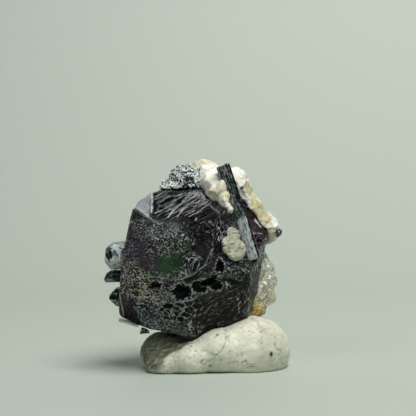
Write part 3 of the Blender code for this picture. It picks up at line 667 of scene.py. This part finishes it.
    # painted highlights lie on pit rims, ridge lines and edges
    for mask, code, way in ((tan, "666359", "COLOR"), (blue, "5b6569", "COLOR"), (purple, "5c3f60", "COLOR"),
                            (green, "386c34", "COLOR"), (rust, "5c2a1e", "MIX"), (paintedHighlight, "c3c8c6", "MIX"),
                            (pitShade, "060607", "MIX")):
        colour = addNode(tree, "Mix", {"B": code}, {"Factor": mask, "A": colour}, data_type="RGBA", blend_type=way)
    matt = addNode(tree, "MapRange", {"From Max": 0.5, "To Min": 0.14, "To Max": 0.62}, {"Value": amount})
    bump = addNode(tree, "Bump", {"Strength": 0.6, "Distance": 0.09 * mm}, {"Height": pattern})
    linkInputs(tree, shader, {"Base Color": colour, "Roughness": matt, "Normal": bump})
    return material


placePiece(makeFluorite(fluorite), etchedFluorite(), "fluorite", "fluorite_crystal")


# The long schorl prism: two lengths that meet at a break, three flat sides with fine lines along them.
schorlPrism = {
    "sides": 72,
    "rowLength": 0.30,
    "flatShare": 0.72,
    "cornerShare": 1.08,
    "lineDepth": 0.035,
    "unevenness": 0.05,
    "crackDepth": 0.10,
    "crackReach": 0.16,
    "crackTilt": 0.03,
    "endStep": 0.35,
    "sheenHalfAngle": 52,
    "sideWearAndSheen": 0.08,
    "endWearAndSheen": 0.45,
    "lengths": {
        "upper": {"root": (6.9, -5.5, 36.3), "tip": (3.0, -3.4, 48.6), "radius": 1.80, "face": -28, "seed": 3,
                  "wearAndSheen": 0.36, "cracks": (0.30, 0.42, 0.74)},
        "lower": {"root": (9.75, -6.95, 26.4), "tip": (6.40, -4.95, 38.80), "radius": 1.70, "face": -24, "seed": 9,
                  "wearAndSheen": 0.96, "cracks": (0.18, 0.93)},
    },
}


def prismAxes(length):
    way = (Vector(length["tip"]) - Vector(length["root"])).normalized()
    side = math.radians(length["face"])
    front = Vector((math.sin(side), -math.cos(side), 0))
    front = (front - way * front.dot(way)).normalized()
    return way, front, way.cross(front)


def prismLength(bm, length, s):
    # one length of the prism; its flat face centres are turned to the right of the viewer by face
    root, tip = Vector(length["root"]), Vector(length["tip"])
    axis = tip - root
    way, front, across = prismAxes(length)
    bmesh.ops.create_cone(bm, cap_ends=True, segments=s["sides"], radius1=1, radius2=1, depth=1)
    uprights = [e for e in bm.edges if abs(e.verts[0].co.z - e.verts[1].co.z) > 0.5]
    rows = max(1, int(axis.length / s["rowLength"]))
    bmesh.ops.subdivide_edges(bm, edges=uprights, cuts=rows, use_grid_fill=True)
    for vertex in bm.verts:
        angle = math.atan2(vertex.co.y, vertex.co.x)
        height = vertex.co.z + 0.5
        fromFace = (angle + math.pi / 3) % (2 * math.pi / 3) - math.pi / 3
        reach = min(s["flatShare"] / math.cos(fromFace), s["cornerShare"]) * length["radius"]
        spot = Vector((math.cos(angle) * 9, math.sin(angle) * 9, height * axis.length * 0.08 + length["seed"] * 5))
        reach += s["lineDepth"] * noise.fractal(spot, 1.0, 2.0, 3)
        reach += s["unevenness"] * noise.noise(vertex.co * 2 + Vector((0, 0, length["seed"])))
        for crack in length["cracks"]:
            tilt = crack + s["crackTilt"] * math.sin(angle + length["seed"]) + 0.012 * noise.noise(spot * 0.6)
            reach -= s["crackDepth"] * max(0.0, 1 - abs(height - tilt) * axis.length / s["crackReach"])
        end = min(height, 1 - height) * axis.length
        if end < 0.01:
            reach -= s["crackDepth"]
            height += s["endStep"] / axis.length * noise.noise(spot * 0.5 + Vector((4, 0, 0)))
        vertex.co = root + way * (height * axis.length) + front * (reach * math.cos(angle)) \
            + across * (reach * math.sin(angle))


def makeSchorlPrism(s):
    pieces = []
    for name, length in s["lengths"].items():
        bm = bmesh.new()
        prismLength(bm, length, s)
        bmesh.ops.recalc_face_normals(bm, faces=bm.faces)
        bmesh.ops.scale(bm, vec=(mm, mm, mm), verts=bm.verts)
        mesh = bpy.data.meshes.new("schorlPrism")
        bm.to_mesh(mesh)
        bm.free()
        pieces.append(putInScene("schorl" + name.capitalize(), mesh))
    joined = pieces[0].modifiers.new("joined", "BOOLEAN")
    joined.operation = "UNION"
    joined.object = pieces[1]
    mesh = finishedMesh(pieces[0])
    for piece in pieces:
        bpy.data.objects.remove(piece)
    piece = putInScene("schorlPrism", mesh)
    points = readPoints(mesh)
    far = 9.0  # more than any gap to a surface
    along, around = np.zeros(len(points)), np.zeros(len(points))
    wear, outside = np.full(len(points), far), np.full(len(points), far)
    for length in s["lengths"].values():
        # a point belongs to the length on whose surface it lies
        way, front, across = (np.array(axis) for axis in prismAxes(length))
        offset = points - length["root"]
        height, reach = offset @ way, np.hypot(offset @ front, offset @ across)
        tall = (Vector(length["tip"]) - Vector(length["root"])).length
        angle = np.arctan2(offset @ across, offset @ front)
        fromFace = (angle + np.pi / 3) % (2 * np.pi / 3) - np.pi / 3
        surface = np.minimum(s["flatShare"] / np.cos(fromFace), s["cornerShare"]) * length["radius"]
        gap = np.minimum(np.abs(reach - surface), np.minimum(np.abs(height), np.abs(height - tall)))
        gap = np.where((height > -0.3) & (height < tall + 0.3), gap, far)
        own = gap < outside
        outside = np.where(own, gap, outside)
        along, around = np.where(own, height, along), np.where(own, angle * length["radius"], around)
        # the faces turned to the front are painted lighter, partly wear and partly a painted reflection of the lamp;
        # the lower length's nearly pale face is the reflection
        light = np.where(np.abs(angle) < math.radians(s["sheenHalfAngle"]), length["wearAndSheen"], s["sideWearAndSheen"])
        wear = np.where(own, np.where(np.abs(height - tall) < 0.25, s["endWearAndSheen"], light), wear)
    addZones(mesh, "zones", wear)
    addSurfaceMap(mesh, along, around)
    writePoints(mesh, points)
    return piece


def striatedSchorl(name="striatedSchorl", wearAndSheenColour="c9d4d3", midColour="5f6a6a"):
    # Schorl, the black iron tourmaline: a glassy prism with fine lines along it, and dull blue-grey where its face is
    # worn and where a reflection of the lamp that it turns back is painted on it.
    material, tree, shader = newMaterial(name, IOR=1.65)
    place = addNode(tree, "TexCoord").outputs["Object"]
    wearAndSheen = readMasks(tree, "zones")[0]
    lines = addNode(tree, "UVMap", uv_map="surfaceMap")
    # lines 0.2 mm apart and a few millimetres long
    stretched = addNode(tree, "Mapping", {"Scale": (0.30, 4.5, 1.0)}, {"Vector": lines})
    streak = addNode(tree, "TexNoise", {"Scale": 1.0, "Detail": 3.0, "Roughness": 0.6}, {"Vector": stretched})
    blotch = addNode(tree, "TexNoise", {"Scale": perMm(0.75), "Detail": 3.0, "Roughness": 0.6}, {"Vector": place})
    mixed = addNode(tree, "Math", {1: 0.6}, {0: blotch, 2: streak}, operation="MULTIPLY_ADD")
    shade = addNode(tree, "MapRange", {"From Min": 0.68, "From Max": 0.92, "To Min": -0.46, "To Max": 0.40},
                    {"Value": mixed})
    amount = addNode(tree, "Math", links={0: wearAndSheen, 1: shade}, operation="ADD", use_clamp=True)
    colour = addNode(tree, "ValToRGB", links={"Fac": amount}, stops=[
        (0.0, "090a0b"), (1.0, wearAndSheenColour), (0.30, "1b1f1f"), (0.60, midColour)])
    rough = addNode(tree, "MapRange", {"To Min": 0.14, "To Max": 0.42}, {"Value": amount})
    bump = addNode(tree, "Bump", {"Strength": 0.5, "Distance": 0.05 * mm}, {"Height": streak})
    linkInputs(tree, shader, {"Base Color": colour, "Roughness": rough, "Normal": bump})
    return material


schorlLook = striatedSchorl()
placePiece(makeSchorlPrism(schorlPrism), schorlLook, "schorl", "schorl_prism")


# Small crystals keep their solids' facets, which get worn edges with a painted highlight along them, fine lines,
# and a painted sheen that makes a few faces light.
smallCrystals = {
    "cell": 0.14,
    "grainSize": 0.5,
    "grainDepth": 0.03,
    "lineDepth": 0.03,
    "lineSpacing": 0.3,
    "lineLength": 3.0,
    "chipSize": 0.8,
    "chipDepth": 0.12,
    "facetSheen": 0.5,
    "edgeHighlight": 0.5,
    "swell": {"schorl_small_right": 0.30, "schorl_small_bottom": -0.16},
    "nodes": {
        "schorl_left_upper": ("schorlLeftUpper", 0.58),
        "schorl_left_middle": ("schorlLeftMiddle", -0.45),
        "schorl_left_lower": ("schorlLeftLower", 0.05),
        "schorl_small_bottom": ("schorlSmallBottom", 0.16),
        "schorl_small_right": ("schorlSmallRight", 0.05),
        "schorl_back_upper": ("schorlBackUpper", 0.10),
        "schorl_back_lower": ("schorlBackLower", 0.10),
    },
    # painted highlights; a strength below zero paints a spot darker
    "lightSpots": {
        "schorl_left_upper": [(-25.1, 27.8, 1, 1.5, 10, -0.9), (-22.6, 29.4, 2, 1, 0, 0.35),
                              (-22.8, 25.8, 2, 1.5, 0, 0.4)],
        "schorl_left_middle": [(-24.6, 23, 0.9, 0.4, 0, 0.7)],
        "schorl_small_right": [(15, 33.1, 0.5, 0.8, -40, 0.9)],
    },
}


def makeSmallCrystal(s, source):
    name, wearAndSheen = s["nodes"][source]
    piece, points, normals, edgeGap = denseCopy(name, source, s["cell"])
    grain = noiseField(points, s["grainSize"], 3)
    across, along = 1 / s["lineSpacing"], 1 / s["lineLength"]
    lines = noiseField(points * (across, across, along), 1.0, 2)
    chip = np.clip(noiseField(points, s["chipSize"], 2, 3.0), 0, 1)
    relief = grain * s["grainDepth"] + lines * s["lineDepth"] + s["swell"].get(source, 0)
    relief -= s["chipDepth"] * chip * (1 - smoothStep(edgeGap, 0, 0.4))
    pushOut(piece, points, normals, relief)
    facet = noiseField(normals * 3, 1.0, 1, 7.0)
    edge = s["edgeHighlight"] * (1 - smoothStep(edgeGap, 0.05, 0.25))
    # painted light: each facet gets a sheen of its own by its direction, and the edges a painted highlight
    light = wearAndSheen + s["facetSheen"] * facet + edge + spotMask(points, s["lightSpots"].get(source, []))
    addZones(piece.data, "zones", np.clip(light, 0, 1))
    addSurfaceMap(piece.data, points[:, 2], points[:, 0] + points[:, 1])
    return piece


for source in smallCrystals["nodes"]:
    placePiece(makeSmallCrystal(smallCrystals, source), schorlLook, "schorl", source)


# The druse: tiny schorl crystals that stand out of their bed in every direction, a little coarser than the real
# ones so that they show. Each is painted a shade from black to near white as a reflection of the lamp on its faces;
# the ones at its top are darker, and a spot without crystals is painted black as the shade of a hollow.
druse = {
    "cell": 0.22,
    "bedGrain": 0.7,
    "bedRelief": 0.12,
    "bedShade": 0.30,
    "crystals": 2500,
    "steepest": -0.35,
    "radii": (0.12, 0.27),
    "lengths": (0.28, 0.66),
    "taper": 0.82,
    "standOut": 0.3,
    "lean": 0.55,
    "shortLeftOf": -10,
    "shadedHollow": ((-5.0, 45.0), 1.0),
    "darkAbove": 47.1,
    "darkSlope": 0.3,
    "shades": (0.0, 0.5, 0.9, 1.3),
    "darkShares": (5, 4, 5, 6),
    "lightShares": (3, 2, 5, 13),
    "seed": 5,
}


def makeDruse(s):
    piece, points, normals, _ = denseCopy("schorlDruse", "schorl_druse", s["cell"])
    pushOut(piece, points, normals, s["bedRelief"] * noiseField(points, s["bedGrain"], 2))
    bm = bmesh.new()
    bm.from_mesh(piece.data)
    shade = bm.verts.layers.float.new("shade")
    # painted shade: the bed is black where a hollow lies in shadow, and no crystals stand there
    (hollowX, hollowZ), hollowReach = s["shadedHollow"]
    for vertex in bm.verts:
        away = math.hypot(vertex.co.x / mm - hollowX, vertex.co.z / mm - hollowZ)
        vertex[shade] = s["bedShade"] if away > hollowReach else 0.0
    chance = random.Random(s["seed"])
    faces = [f for f in bm.faces if f.normal.z > s["steepest"]]
    roots = [(f.calc_center_median() / mm, f.normal.copy())
             for f in chance.choices(faces, [f.calc_area() for f in faces], k=s["crystals"])]
    for root, out in roots:
        if math.hypot(root.x - hollowX, root.z - hollowZ) < hollowReach:
            continue
        lean = Vector(chance.uniform(-s["lean"], s["lean"]) for _ in range(3))
        way = (out + lean).normalized()
        radius, length = chance.uniform(*s["radii"]), chance.uniform(*s["lengths"])
        length *= 0.5 if root.x < s["shortLeftOf"] else 1
        turn = Matrix.Rotation(chance.uniform(0, math.pi), 4, "Z")
        place = Matrix.Translation((root + way * (length * s["standOut"])) * mm)
        stand = way.to_track_quat("Z", "Y").to_matrix().to_4x4()
        made = bmesh.ops.create_cone(bm, cap_ends=True, segments=6, radius1=radius * mm,
                                     radius2=radius * s["taper"] * mm, depth=length * mm,
                                     matrix=place @ stand @ turn)
        # painted reflections: each crystal gets a shade from black to near white, as the lamp catches its faces
        shares = s["darkShares"] if root.z > s["darkAbove"] + s["darkSlope"] * root.x else s["lightShares"]
        light = chance.choices(s["shades"], shares)[0]
        for vertex in made["verts"]:
            vertex[shade] = light
    bm.to_mesh(piece.data)
    bm.free()
    shades = np.zeros(len(piece.data.vertices), np.float32)
    piece.data.attributes["shade"].data.foreach_get("value", shades)
    writePoints(piece.data, readPoints(piece.data))
    addZones(piece.data, "zones", shades)
    points = readPoints(piece.data)
    addSurfaceMap(piece.data, points[:, 2], points[:, 0] + points[:, 1])
    return piece


placePiece(makeDruse(druse), striatedSchorl("sparklingSchorl", "eef6f4", "9eaaa8"), "schorl", "schorl_druse")
bpy.data.objects["schorlDruse"].data.shade_flat()


# The feldspar: blocky, broken along flat cleavages, white to cream with rusty stains towards the right.
feldspar = {
    "cell": 0.26,
    "smoothing": 60,
    "blockSize": 2.4,
    "blockTilt": 0.35,
    "blockDepth": 0.40,
    "blockShare": 0.7,
    "warp": 0.4,
    "grainSize": 0.7,
    "grainDepth": 0.10,
    "waveSize": 3.0,
    "waveDepth": 0.12,
    "seed": 13,
    "stainSpots": [
        (1.5, 42.2, 2.8, 1.5, -10, 0.5), (4.2, 40.6, 2, 1.8, -40, 0.3), (-2.5, 49.8, 5, 1.3, 0, 0.55),
        (9.7, 41.2, 1, 3.2, 22, 0.8), (11.6, 37.4, 2.2, 2.8, 45, 0.8), (12.8, 34.3, 1.8, 2.8, 20, 0.6),
        (10, 18, 3, 6, 0, 0.5),
    ],
    "greySpots": [
        (13.6, 31, 1.6, 2.2, 0, 0.8), (12.4, 36, 2.4, 3, 30, 0.35), (8.2, 40, 1.2, 2.6, 20, 0.25),
        (2.8, 42.2, 2.4, 1.4, 0, 0.1),
    ],
    "darkSpots": [
        (7, 43.1, 0.55, 0.35, 30, 1), (8.2, 44.3, 0.3, 0.25, 0, 0.8),
    ],
    "bulges": [(2.8, 45.6, 1.8, 3, 0, 1.2), (3, 42.6, 2.2, 2.2, 0, 0.8)],
}
feldsparPatch = {
    **feldspar,
    "cell": 0.13,
    "smoothing": 25,
    "blockSize": 0.9,
    "blockDepth": 0.2,
    "bulges": [(2.2, 29.5, 1.4, 3.6, 0, 0.5), (4.8, 26.9, 3.6, 1.4, 0, 0.7)],
}


def makeFeldspar(name, source, s, spotless=False):
    piece, points, normals, _ = denseCopy(name, source, s["cell"])
    count = len(points)
    points, normals = smoothed(piece, points, s["smoothing"])
    chance = random.Random(s["seed"])
    grain = noiseField(points, s["grainSize"], 3)
    wave = noiseField(points, s["waveSize"], 2, 9.0)
    seeds = chance.sample(range(count), max(8, int(count * s["cell"] ** 2 / s["blockSize"] ** 2)))
    tree = KDTree(len(seeds))
    tilts = []
    for number, seed in enumerate(seeds):
        tree.insert(Vector(points[seed]), number)
        tilt = Vector(chance.gauss(0, s["blockTilt"]) for _ in range(3))
        tilts.append((Vector(normals[seed]) + tilt).normalized())
    tree.balance()
    blocks = np.zeros(count)
    shades = np.zeros(count)
    for number, point in enumerate(points):
        spot = Vector(point)
        centre, near, _ = tree.find(spot + Vector(normals[number]) * (s["warp"] * wave[number]))
        blocks[number] = -(spot - centre).dot(tilts[near])
        shades[number] = math.sin(near * 12.9898) * 0.5 + 0.5  # each block has its own
    blocks = np.clip(blocks, -s["blockDepth"], s["blockDepth"]) * s["blockShare"]
    relief = blocks + grain * s["grainDepth"] + wave * s["waveDepth"]
    relief += spotMask(points, s["bulges"]) * (normals[:, 1] < 0)
    pushOut(piece, points, normals, relief)
    if spotless:
        stain, grey, dark = 0.25 + 0.5 * wave, 0.20 + 0.9 * grain + 0.3 * shades, np.zeros(count)
    else:
        warp = s["warp"] * wave
        front = normals[:, 1] < 0.2
        back = np.where(front, 0, 0.25 + 0.4 * wave)
        stain = np.where(front, spotMask(points, s["stainSpots"], warp), 0) + back
        grey = np.where(front, spotMask(points, s["greySpots"], warp), 0) + 0.2 * shades
        dark = np.where(front, spotMask(points, s["darkSpots"], warp * 0.5), 0)
    addZones(piece.data, "zones", np.clip(stain, 0, 1), np.clip(grey, 0, 1), np.clip(dark, 0, 1))
    return piece


def cleavedFeldspar(name, white, cream, tan, grey):
    # Feldspar, split along its cleavage: white to cream, a little pearly, with iron stains in the cracks
    material, tree, shader = newMaterial(name, IOR=1.53)
    place = addNode(tree, "TexCoord").outputs["Object"]
    stain, dull, dark = readMasks(tree, "zones")
    grain = addNode(tree, "TexNoise", {"Scale": perMm(0.8), "Detail": 4.0, "Roughness": 0.65}, {"Vector": place})
    cloud = addNode(tree, "TexNoise", {"Scale": perMm(3.0), "Detail": 3.0, "Roughness": 0.5}, {"Vector": place})
    colour = addNode(tree, "ValToRGB", links={"Fac": cloud}, stops=[(0.35, white), (0.68, cream)])
    # sugary crumbs of 0.5 mm in the cleavage steps
    crumbs = addNode(tree, "TexNoise", {"Scale": perMm(0.45), "Detail": 3.0, "Roughness": 0.7}, {"Vector": place})
    crumbly = addNode(tree, "MapRange", {"From Min": 0.52, "From Max": 0.66, "To Max": 0.55}, {"Value": crumbs})
    spread = addNode(tree, "Math", {1: 1.6, 2: -0.8}, {0: grain}, operation="MULTIPLY_ADD")
    stained = addNode(tree, "Math", links={0: stain, 1: spread}, operation="MULTIPLY")
    stainShare = addNode(tree, "Math", links={0: stain, 1: stained}, operation="ADD", use_clamp=True)
    for mask, code in ((crumbly, grey), (stainShare, tan), (dull, grey), (dark, "1a1a18")):
        colour = addNode(tree, "Mix", {"B": code}, {"Factor": mask, "A": colour}, data_type="RGBA")
    rough = addNode(tree, "MapRange", {"To Min": 0.35, "To Max": 0.7}, {"Value": grain})
    coarse = addNode(tree, "Bump", {"Strength": 0.8, "Distance": 0.20 * mm}, {"Height": grain})
    bump = addNode(tree, "Bump", {"Strength": 0.9, "Distance": 0.12 * mm}, {"Height": crumbs, "Normal": coarse})
    linkInputs(tree, shader, {"Base Color": colour, "Roughness": rough, "Normal": bump})
    return material


matrixLook = cleavedFeldspar("cleavedFeldspar", "fdfdfa", "f5f3e6", "c4bb80", "adada0")
placePiece(makeFeldspar("feldsparMatrix", "feldspar_matrix", feldspar), matrixLook, "feldspar", "feldspar_matrix")
patchLook = cleavedFeldspar("creamFeldspar", "cfd0c0", "b9b9a4", "a8a48a", "8f9284")
placePiece(makeFeldspar("feldsparPatch", "feldspar_patch", feldsparPatch, spotless=True), patchLook, "feldspar",
           "feldspar_patch")


# The hyalite: small milky lumps, see-through, with an iron stain low on the left.
hyalite = {
    "cell": 0.17,
    "bumpSize": 0.9,
    "bumpDepth": 0.10,
    "fineSize": 0.4,
    "fineDepth": 0.03,
    "stainSpots": [(9.9, 14.8, 1.4, 2.6, 0, 1), (10.8, 12.9, 2.4, 1.4, 0, 0.7)],
}


def makeHyalite(s):
    piece, points, normals, _ = denseCopy("hyaliteLumps", "hyalite_lumps", s["cell"])
    bumps = noiseField(points, s["bumpSize"], 2)
    fine = noiseField(points, s["fineSize"], 2, 4.0)
    relief = s["bumpDepth"] * bumps + s["fineDepth"] * fine
    pushOut(piece, points, normals, relief)
    stain = spotMask(points, s["stainSpots"], 0.5 * bumps) * np.clip(0.7 + 1.2 * fine, 0.1, 1.2)
    addZones(piece.data, "zones", np.clip(stain, 0, 1))
    return piece


def milkyHyalite():
    # Hyalite opal, set from a gel: glassy lumps that let the light through, a little milky in their colour
    material, tree, shader = newMaterial("milkyHyalite", IOR=1.46, Transmission_Weight=0.86, Roughness=0.05)
    place = addNode(tree, "TexCoord").outputs["Object"]
    stain = readMasks(tree, "zones")[0]
    cloud = addNode(tree, "TexNoise", {"Scale": perMm(1.2), "Detail": 3.0}, {"Vector": place})
    ground = addNode(tree, "ValToRGB", links={"Fac": cloud}, stops=[(0.35, "fdfdf6"), (0.65, "f0eeda")])
    tinted = addNode(tree, "Mix", {"B": "d3a62c"}, {"Factor": stain, "A": ground}, data_type="RGBA")
    bump = addNode(tree, "Bump", {"Strength": 0.4, "Distance": 0.08 * mm}, {"Height": cloud})
    linkInputs(tree, shader, {"Base Color": tinted, "Normal": bump})
    return material


placePiece(makeHyalite(hyalite), milkyHyalite(), "hyalite", "hyalite_lumps")


# The mica flake: a stack of thin sheets whose edges end a little apart.
mica = {"cell": 0.13, "sheetStep": 0.14, "sheetTilt": 0.28, "raggedSize": 0.9, "faceDepth": 0.02, "edgeDepth": 0.25}


def makeMica(s):
    piece, points, normals, _ = denseCopy("micaFlake", "mica_flake", s["cell"])
    flat = np.abs(normals[:, 2]) > 0.7
    layer = np.sin(points[:, 2] / s["sheetStep"] * 2 * math.pi + s["sheetTilt"] * points[:, 0] * 2 * math.pi)
    ragged = noiseField(points, s["raggedSize"], 2)
    relief = np.where(flat, s["faceDepth"] * ragged, s["edgeDepth"] * (0.3 * layer + ragged) * 0.5)
    pushOut(piece, points, normals, relief)
    addZones(piece.data, "zones", np.clip(0.5 + 0.7 * ragged, 0, 1))
    return piece


def pearlyMica():
    # Mica, split into sheets as thin as paper: pale, with a pearly shine
    material, tree, shader = newMaterial("pearlyMica", IOR=1.58, Roughness=0.22, Transmission_Weight=0.45)
    share = readMasks(tree, "zones")[0]
    place = addNode(tree, "TexCoord").outputs["Object"]
    cloud = addNode(tree, "TexNoise", {"Scale": perMm(0.7), "Detail": 3.0}, {"Vector": place})
    mixed = addNode(tree, "Math", links={0: share, 1: cloud}, operation="MULTIPLY")
    colour = addNode(tree, "ValToRGB", links={"Fac": mixed}, stops=[(0.25, "fafcfa"), (0.8, "b5b9b0")])
    linkInputs(tree, shader, {"Base Color": colour})
    return material


placePiece(makeMica(mica), pearlyMica(), "mica", "mica_flake")


# The putty: soft lobes with pressed hollows, fine creases and a few specks of dust.
putty = {
    "cell": 0.30,
    "swellSize": 6.0,
    "swellDepth": 0.30,
    "lumpSize": 2.2,
    "lumpDepth": 0.10,
    "fineSize": 0.7,
    "fineDepth": 0.035,
    "creaseSize": 3.2,
    "creaseDepth": 0.22,
    "creaseHalfWidth": 0.055,
    "creasedAreas": 4.0,
    "folds": [
        (2.4, 10.3, 2.8, 8.2, 0.16, 1), (2.8, 8.2, 1.95, 6.15, 0.16, 1), (1.95, 6.15, 0.5, 4.5, 0.2, 0.8),
        (0.5, 4.5, 1.55, 3.3, 0.16, 0.7), (8.7, 12.3, 10.4, 11.1, 0.2, 0.7), (10.4, 11.1, 11.2, 9, 0.24, 0.8),
        (11.2, 9, 11, 6.6, 0.2, 0.6), (11.2, 10.7, 12.4, 9, 0.16, 0.6), (12.4, 9, 14.1, 8.2, 0.16, 0.7),
        (14.1, 8.2, 14.3, 6.6, 0.16, 0.6), (-4.6, 5.6, -1.4, 5, 0.16, 0.6), (-1.4, 5, 0.5, 4.5, 0.16, 0.6),
        (-9.6, 4.5, -6.8, 3.2, 0.1, 0.6), (-8.4, 5.3, -5.6, 3.9, 0.1, 0.6), (-7, 6.1, -4.4, 4.7, 0.1, 0.5),
        (-10.6, 3.4, -8, 2.2, 0.12, 0.6), (-5.4, 2.6, -2, 2.1, 0.1, 0.5), (2.6, 2.3, 5.6, 2.8, 0.1, 0.5),
        (-13.4, 6.2, -9.8, 8.6, 0.18, 0.9), (-14.4, 4.2, -11.8, 6.4, 0.16, 0.8), (-11.6, 7, -7.4, 8.8, 0.14, 0.8),
        (-12, 4.2, -3.1, 9, 0.16, 0.9),
    ],
    "paintedShadeTurn": 28,
    "paintedShadeStretch": (0.8, 3.0, 1.0),
    # painted shade: darker where the valley under the crystal and the turned-away right end lie in shadow
    "paintedShade": [
        (-9.4, 8.3, 7.8, 2.7, 28, 2.2), (-14.9, 5.8, 3.5, 4.6, 0, 2), (13.4, 6.4, 3.8, 5, 0, 0.2),
    ],
    "specks": [
        (13.2, 4.3, 0.35, 0.75, 10, 1), (2.9, 9.7, 0.3, 0.22, 0, 0.5), (3.3, 8.6, 0.18, 0.4, 0, 0.5),
        (0.3, 4.7, 0.4, 0.25, 20, 0.6), (14.1, 6.3, 0.2, 0.5, 0, 0.5), (-1.2, 1.9, 0.45, 0.35, 0, 0.8),
        (0.6, 9, 0.25, 0.25, 0, 0.7), (-5.6, 6.4, 0.22, 0.22, 0, 0.7), (5.2, 6, 0.2, 0.25, 0, 0.6),
        (-3, 3.4, 0.4, 0.15, 20, 0.5),
    ],
}


def makePutty(s):
    piece, points, normals, _ = denseCopy("puttyRest", "putty_rest", s["cell"])
    swell = noiseField(points, s["swellSize"], 2, 2.0)
    lump = noiseField(points, s["lumpSize"], 3, 6.0)
    fine = noiseField(points, s["fineSize"], 2, 8.0)
    fold = noiseField(points * (1, 1, 1.6), s["creaseSize"], 3, 12.0)
    along, across = turnedOffset(points, 0, 0, s["paintedShadeTurn"])
    streak = noiseField(np.stack([along, across, points[:, 1]], 1) * s["paintedShadeStretch"], 1.0, 3, 4.0)
    crease = 1 - smoothStep(np.abs(fold), 0.0, s["creaseHalfWidth"])
    where = smoothStep(noiseField(points, s["creasedAreas"], 1, 17.0), -0.1, 0.3)
    front = normals[:, 1] < 0.1
    bent = points + (0.5 * fine + 0.4 * lump)[:, None]
    crease = np.maximum(crease * where, np.where(front, needleMask(bent, s["folds"]), 0)
                        * np.clip(0.8 + 1.2 * fine, 0, 1))
    relief = swell * s["swellDepth"] + lump * s["lumpDepth"] + fine * s["fineDepth"] - crease * s["creaseDepth"]
    relief *= smoothStep(points[:, 2], 0.1, 1.5)  # it stands flat
    pushOut(piece, points, normals, relief)
    speck = np.where(front, spotMask(points, s["specks"], 0.4 * fine), 0)
    # painted shade in streaks where the putty lies in shadow
    paintedShade = np.clip(spotMask(points, s["paintedShade"], 0.2 * lump), 0, 1) * np.clip(0.97 + 0.5 * streak, 0.6, 1.2)
    paintedShade *= 1 - 0.8 * smoothStep(normals[:, 1] + 0.3 * lump, -0.10, 0.45)  # and fades towards the back
    addZones(piece.data, "zones", np.clip(crease, 0, 1), np.clip(speck, 0, 1), np.clip(paintedShade, 0, 1))
    return piece


def kneadedPutty():
    # White mounting putty, kneaded by hand: matt and slightly waxy, smudged by handling, with dust pressed into it,
    # and painted shade in its creases and where it lies in shadow
    material, tree, shader = newMaterial("kneadedPutty", IOR=1.45, Roughness=0.62)
    place = addNode(tree, "TexCoord").outputs["Object"]
    crease, speck, paintedShade = readMasks(tree, "zones")
    cloud = addNode(tree, "TexNoise", {"Scale": perMm(3.5), "Detail": 4.0, "Roughness": 0.6}, {"Vector": place})
    fine = addNode(tree, "TexNoise", {"Scale": perMm(0.5), "Detail": 3.0}, {"Vector": place})
    colour = addNode(tree, "ValToRGB", links={"Fac": cloud}, stops=[(0.30, "e8e8d8"), (0.70, "d2d3c0")])
    # painted shade darkens the creases
    creaseShade = addNode(tree, "Math", {1: 0.80}, {0: crease}, operation="MULTIPLY")
    # smudges just under a millimetre wide, from handling
    smudges = addNode(tree, "TexNoise", {"Scale": perMm(0.9), "Detail": 4.0, "Roughness": 0.7}, {"Vector": place})
    smudged = addNode(tree, "MapRange", {"From Min": 0.54, "From Max": 0.72, "To Max": 0.5}, {"Value": smudges})
    # dust of 0.2 to 0.4 mm, one grain in every few millimetres
    dust = addNode(tree, "TexVoronoi", {"Scale": perMm(1.9)}, {"Vector": place})
    dusty = addNode(tree, "MapRange", {"From Min": 0.05, "From Max": 0.14, "To Min": 0.55, "To Max": 0.0},
                    {"Value": dust.outputs["Distance"]})
    rare = addNode(tree, "TexNoise", {"Scale": perMm(3.0)}, {"Vector": place})
    rarely = addNode(tree, "MapRange", {"From Min": 0.46, "From Max": 0.56}, {"Value": rare})
    dustShare = addNode(tree, "Math", links={0: dusty, 1: rarely}, operation="MULTIPLY")
    share = addNode(tree, "Math", links={0: speck, 1: dustShare}, operation="MAXIMUM")
    for mask, code in ((paintedShade, "5a5e4a"), (smudged, "97987f"), (creaseShade, "7c7a64"), (share, "2c2c28")):
        colour = addNode(tree, "Mix", {"B": code}, {"Factor": mask, "A": colour}, data_type="RGBA")
    bump = addNode(tree, "Bump", {"Strength": 0.25, "Distance": 0.10 * mm}, {"Height": fine})
    linkInputs(tree, shader, {"Base Color": colour, "Normal": bump})
    return material


placePiece(makePutty(putty), kneadedPutty(), "putty", "putty_rest")

print("all pieces made")
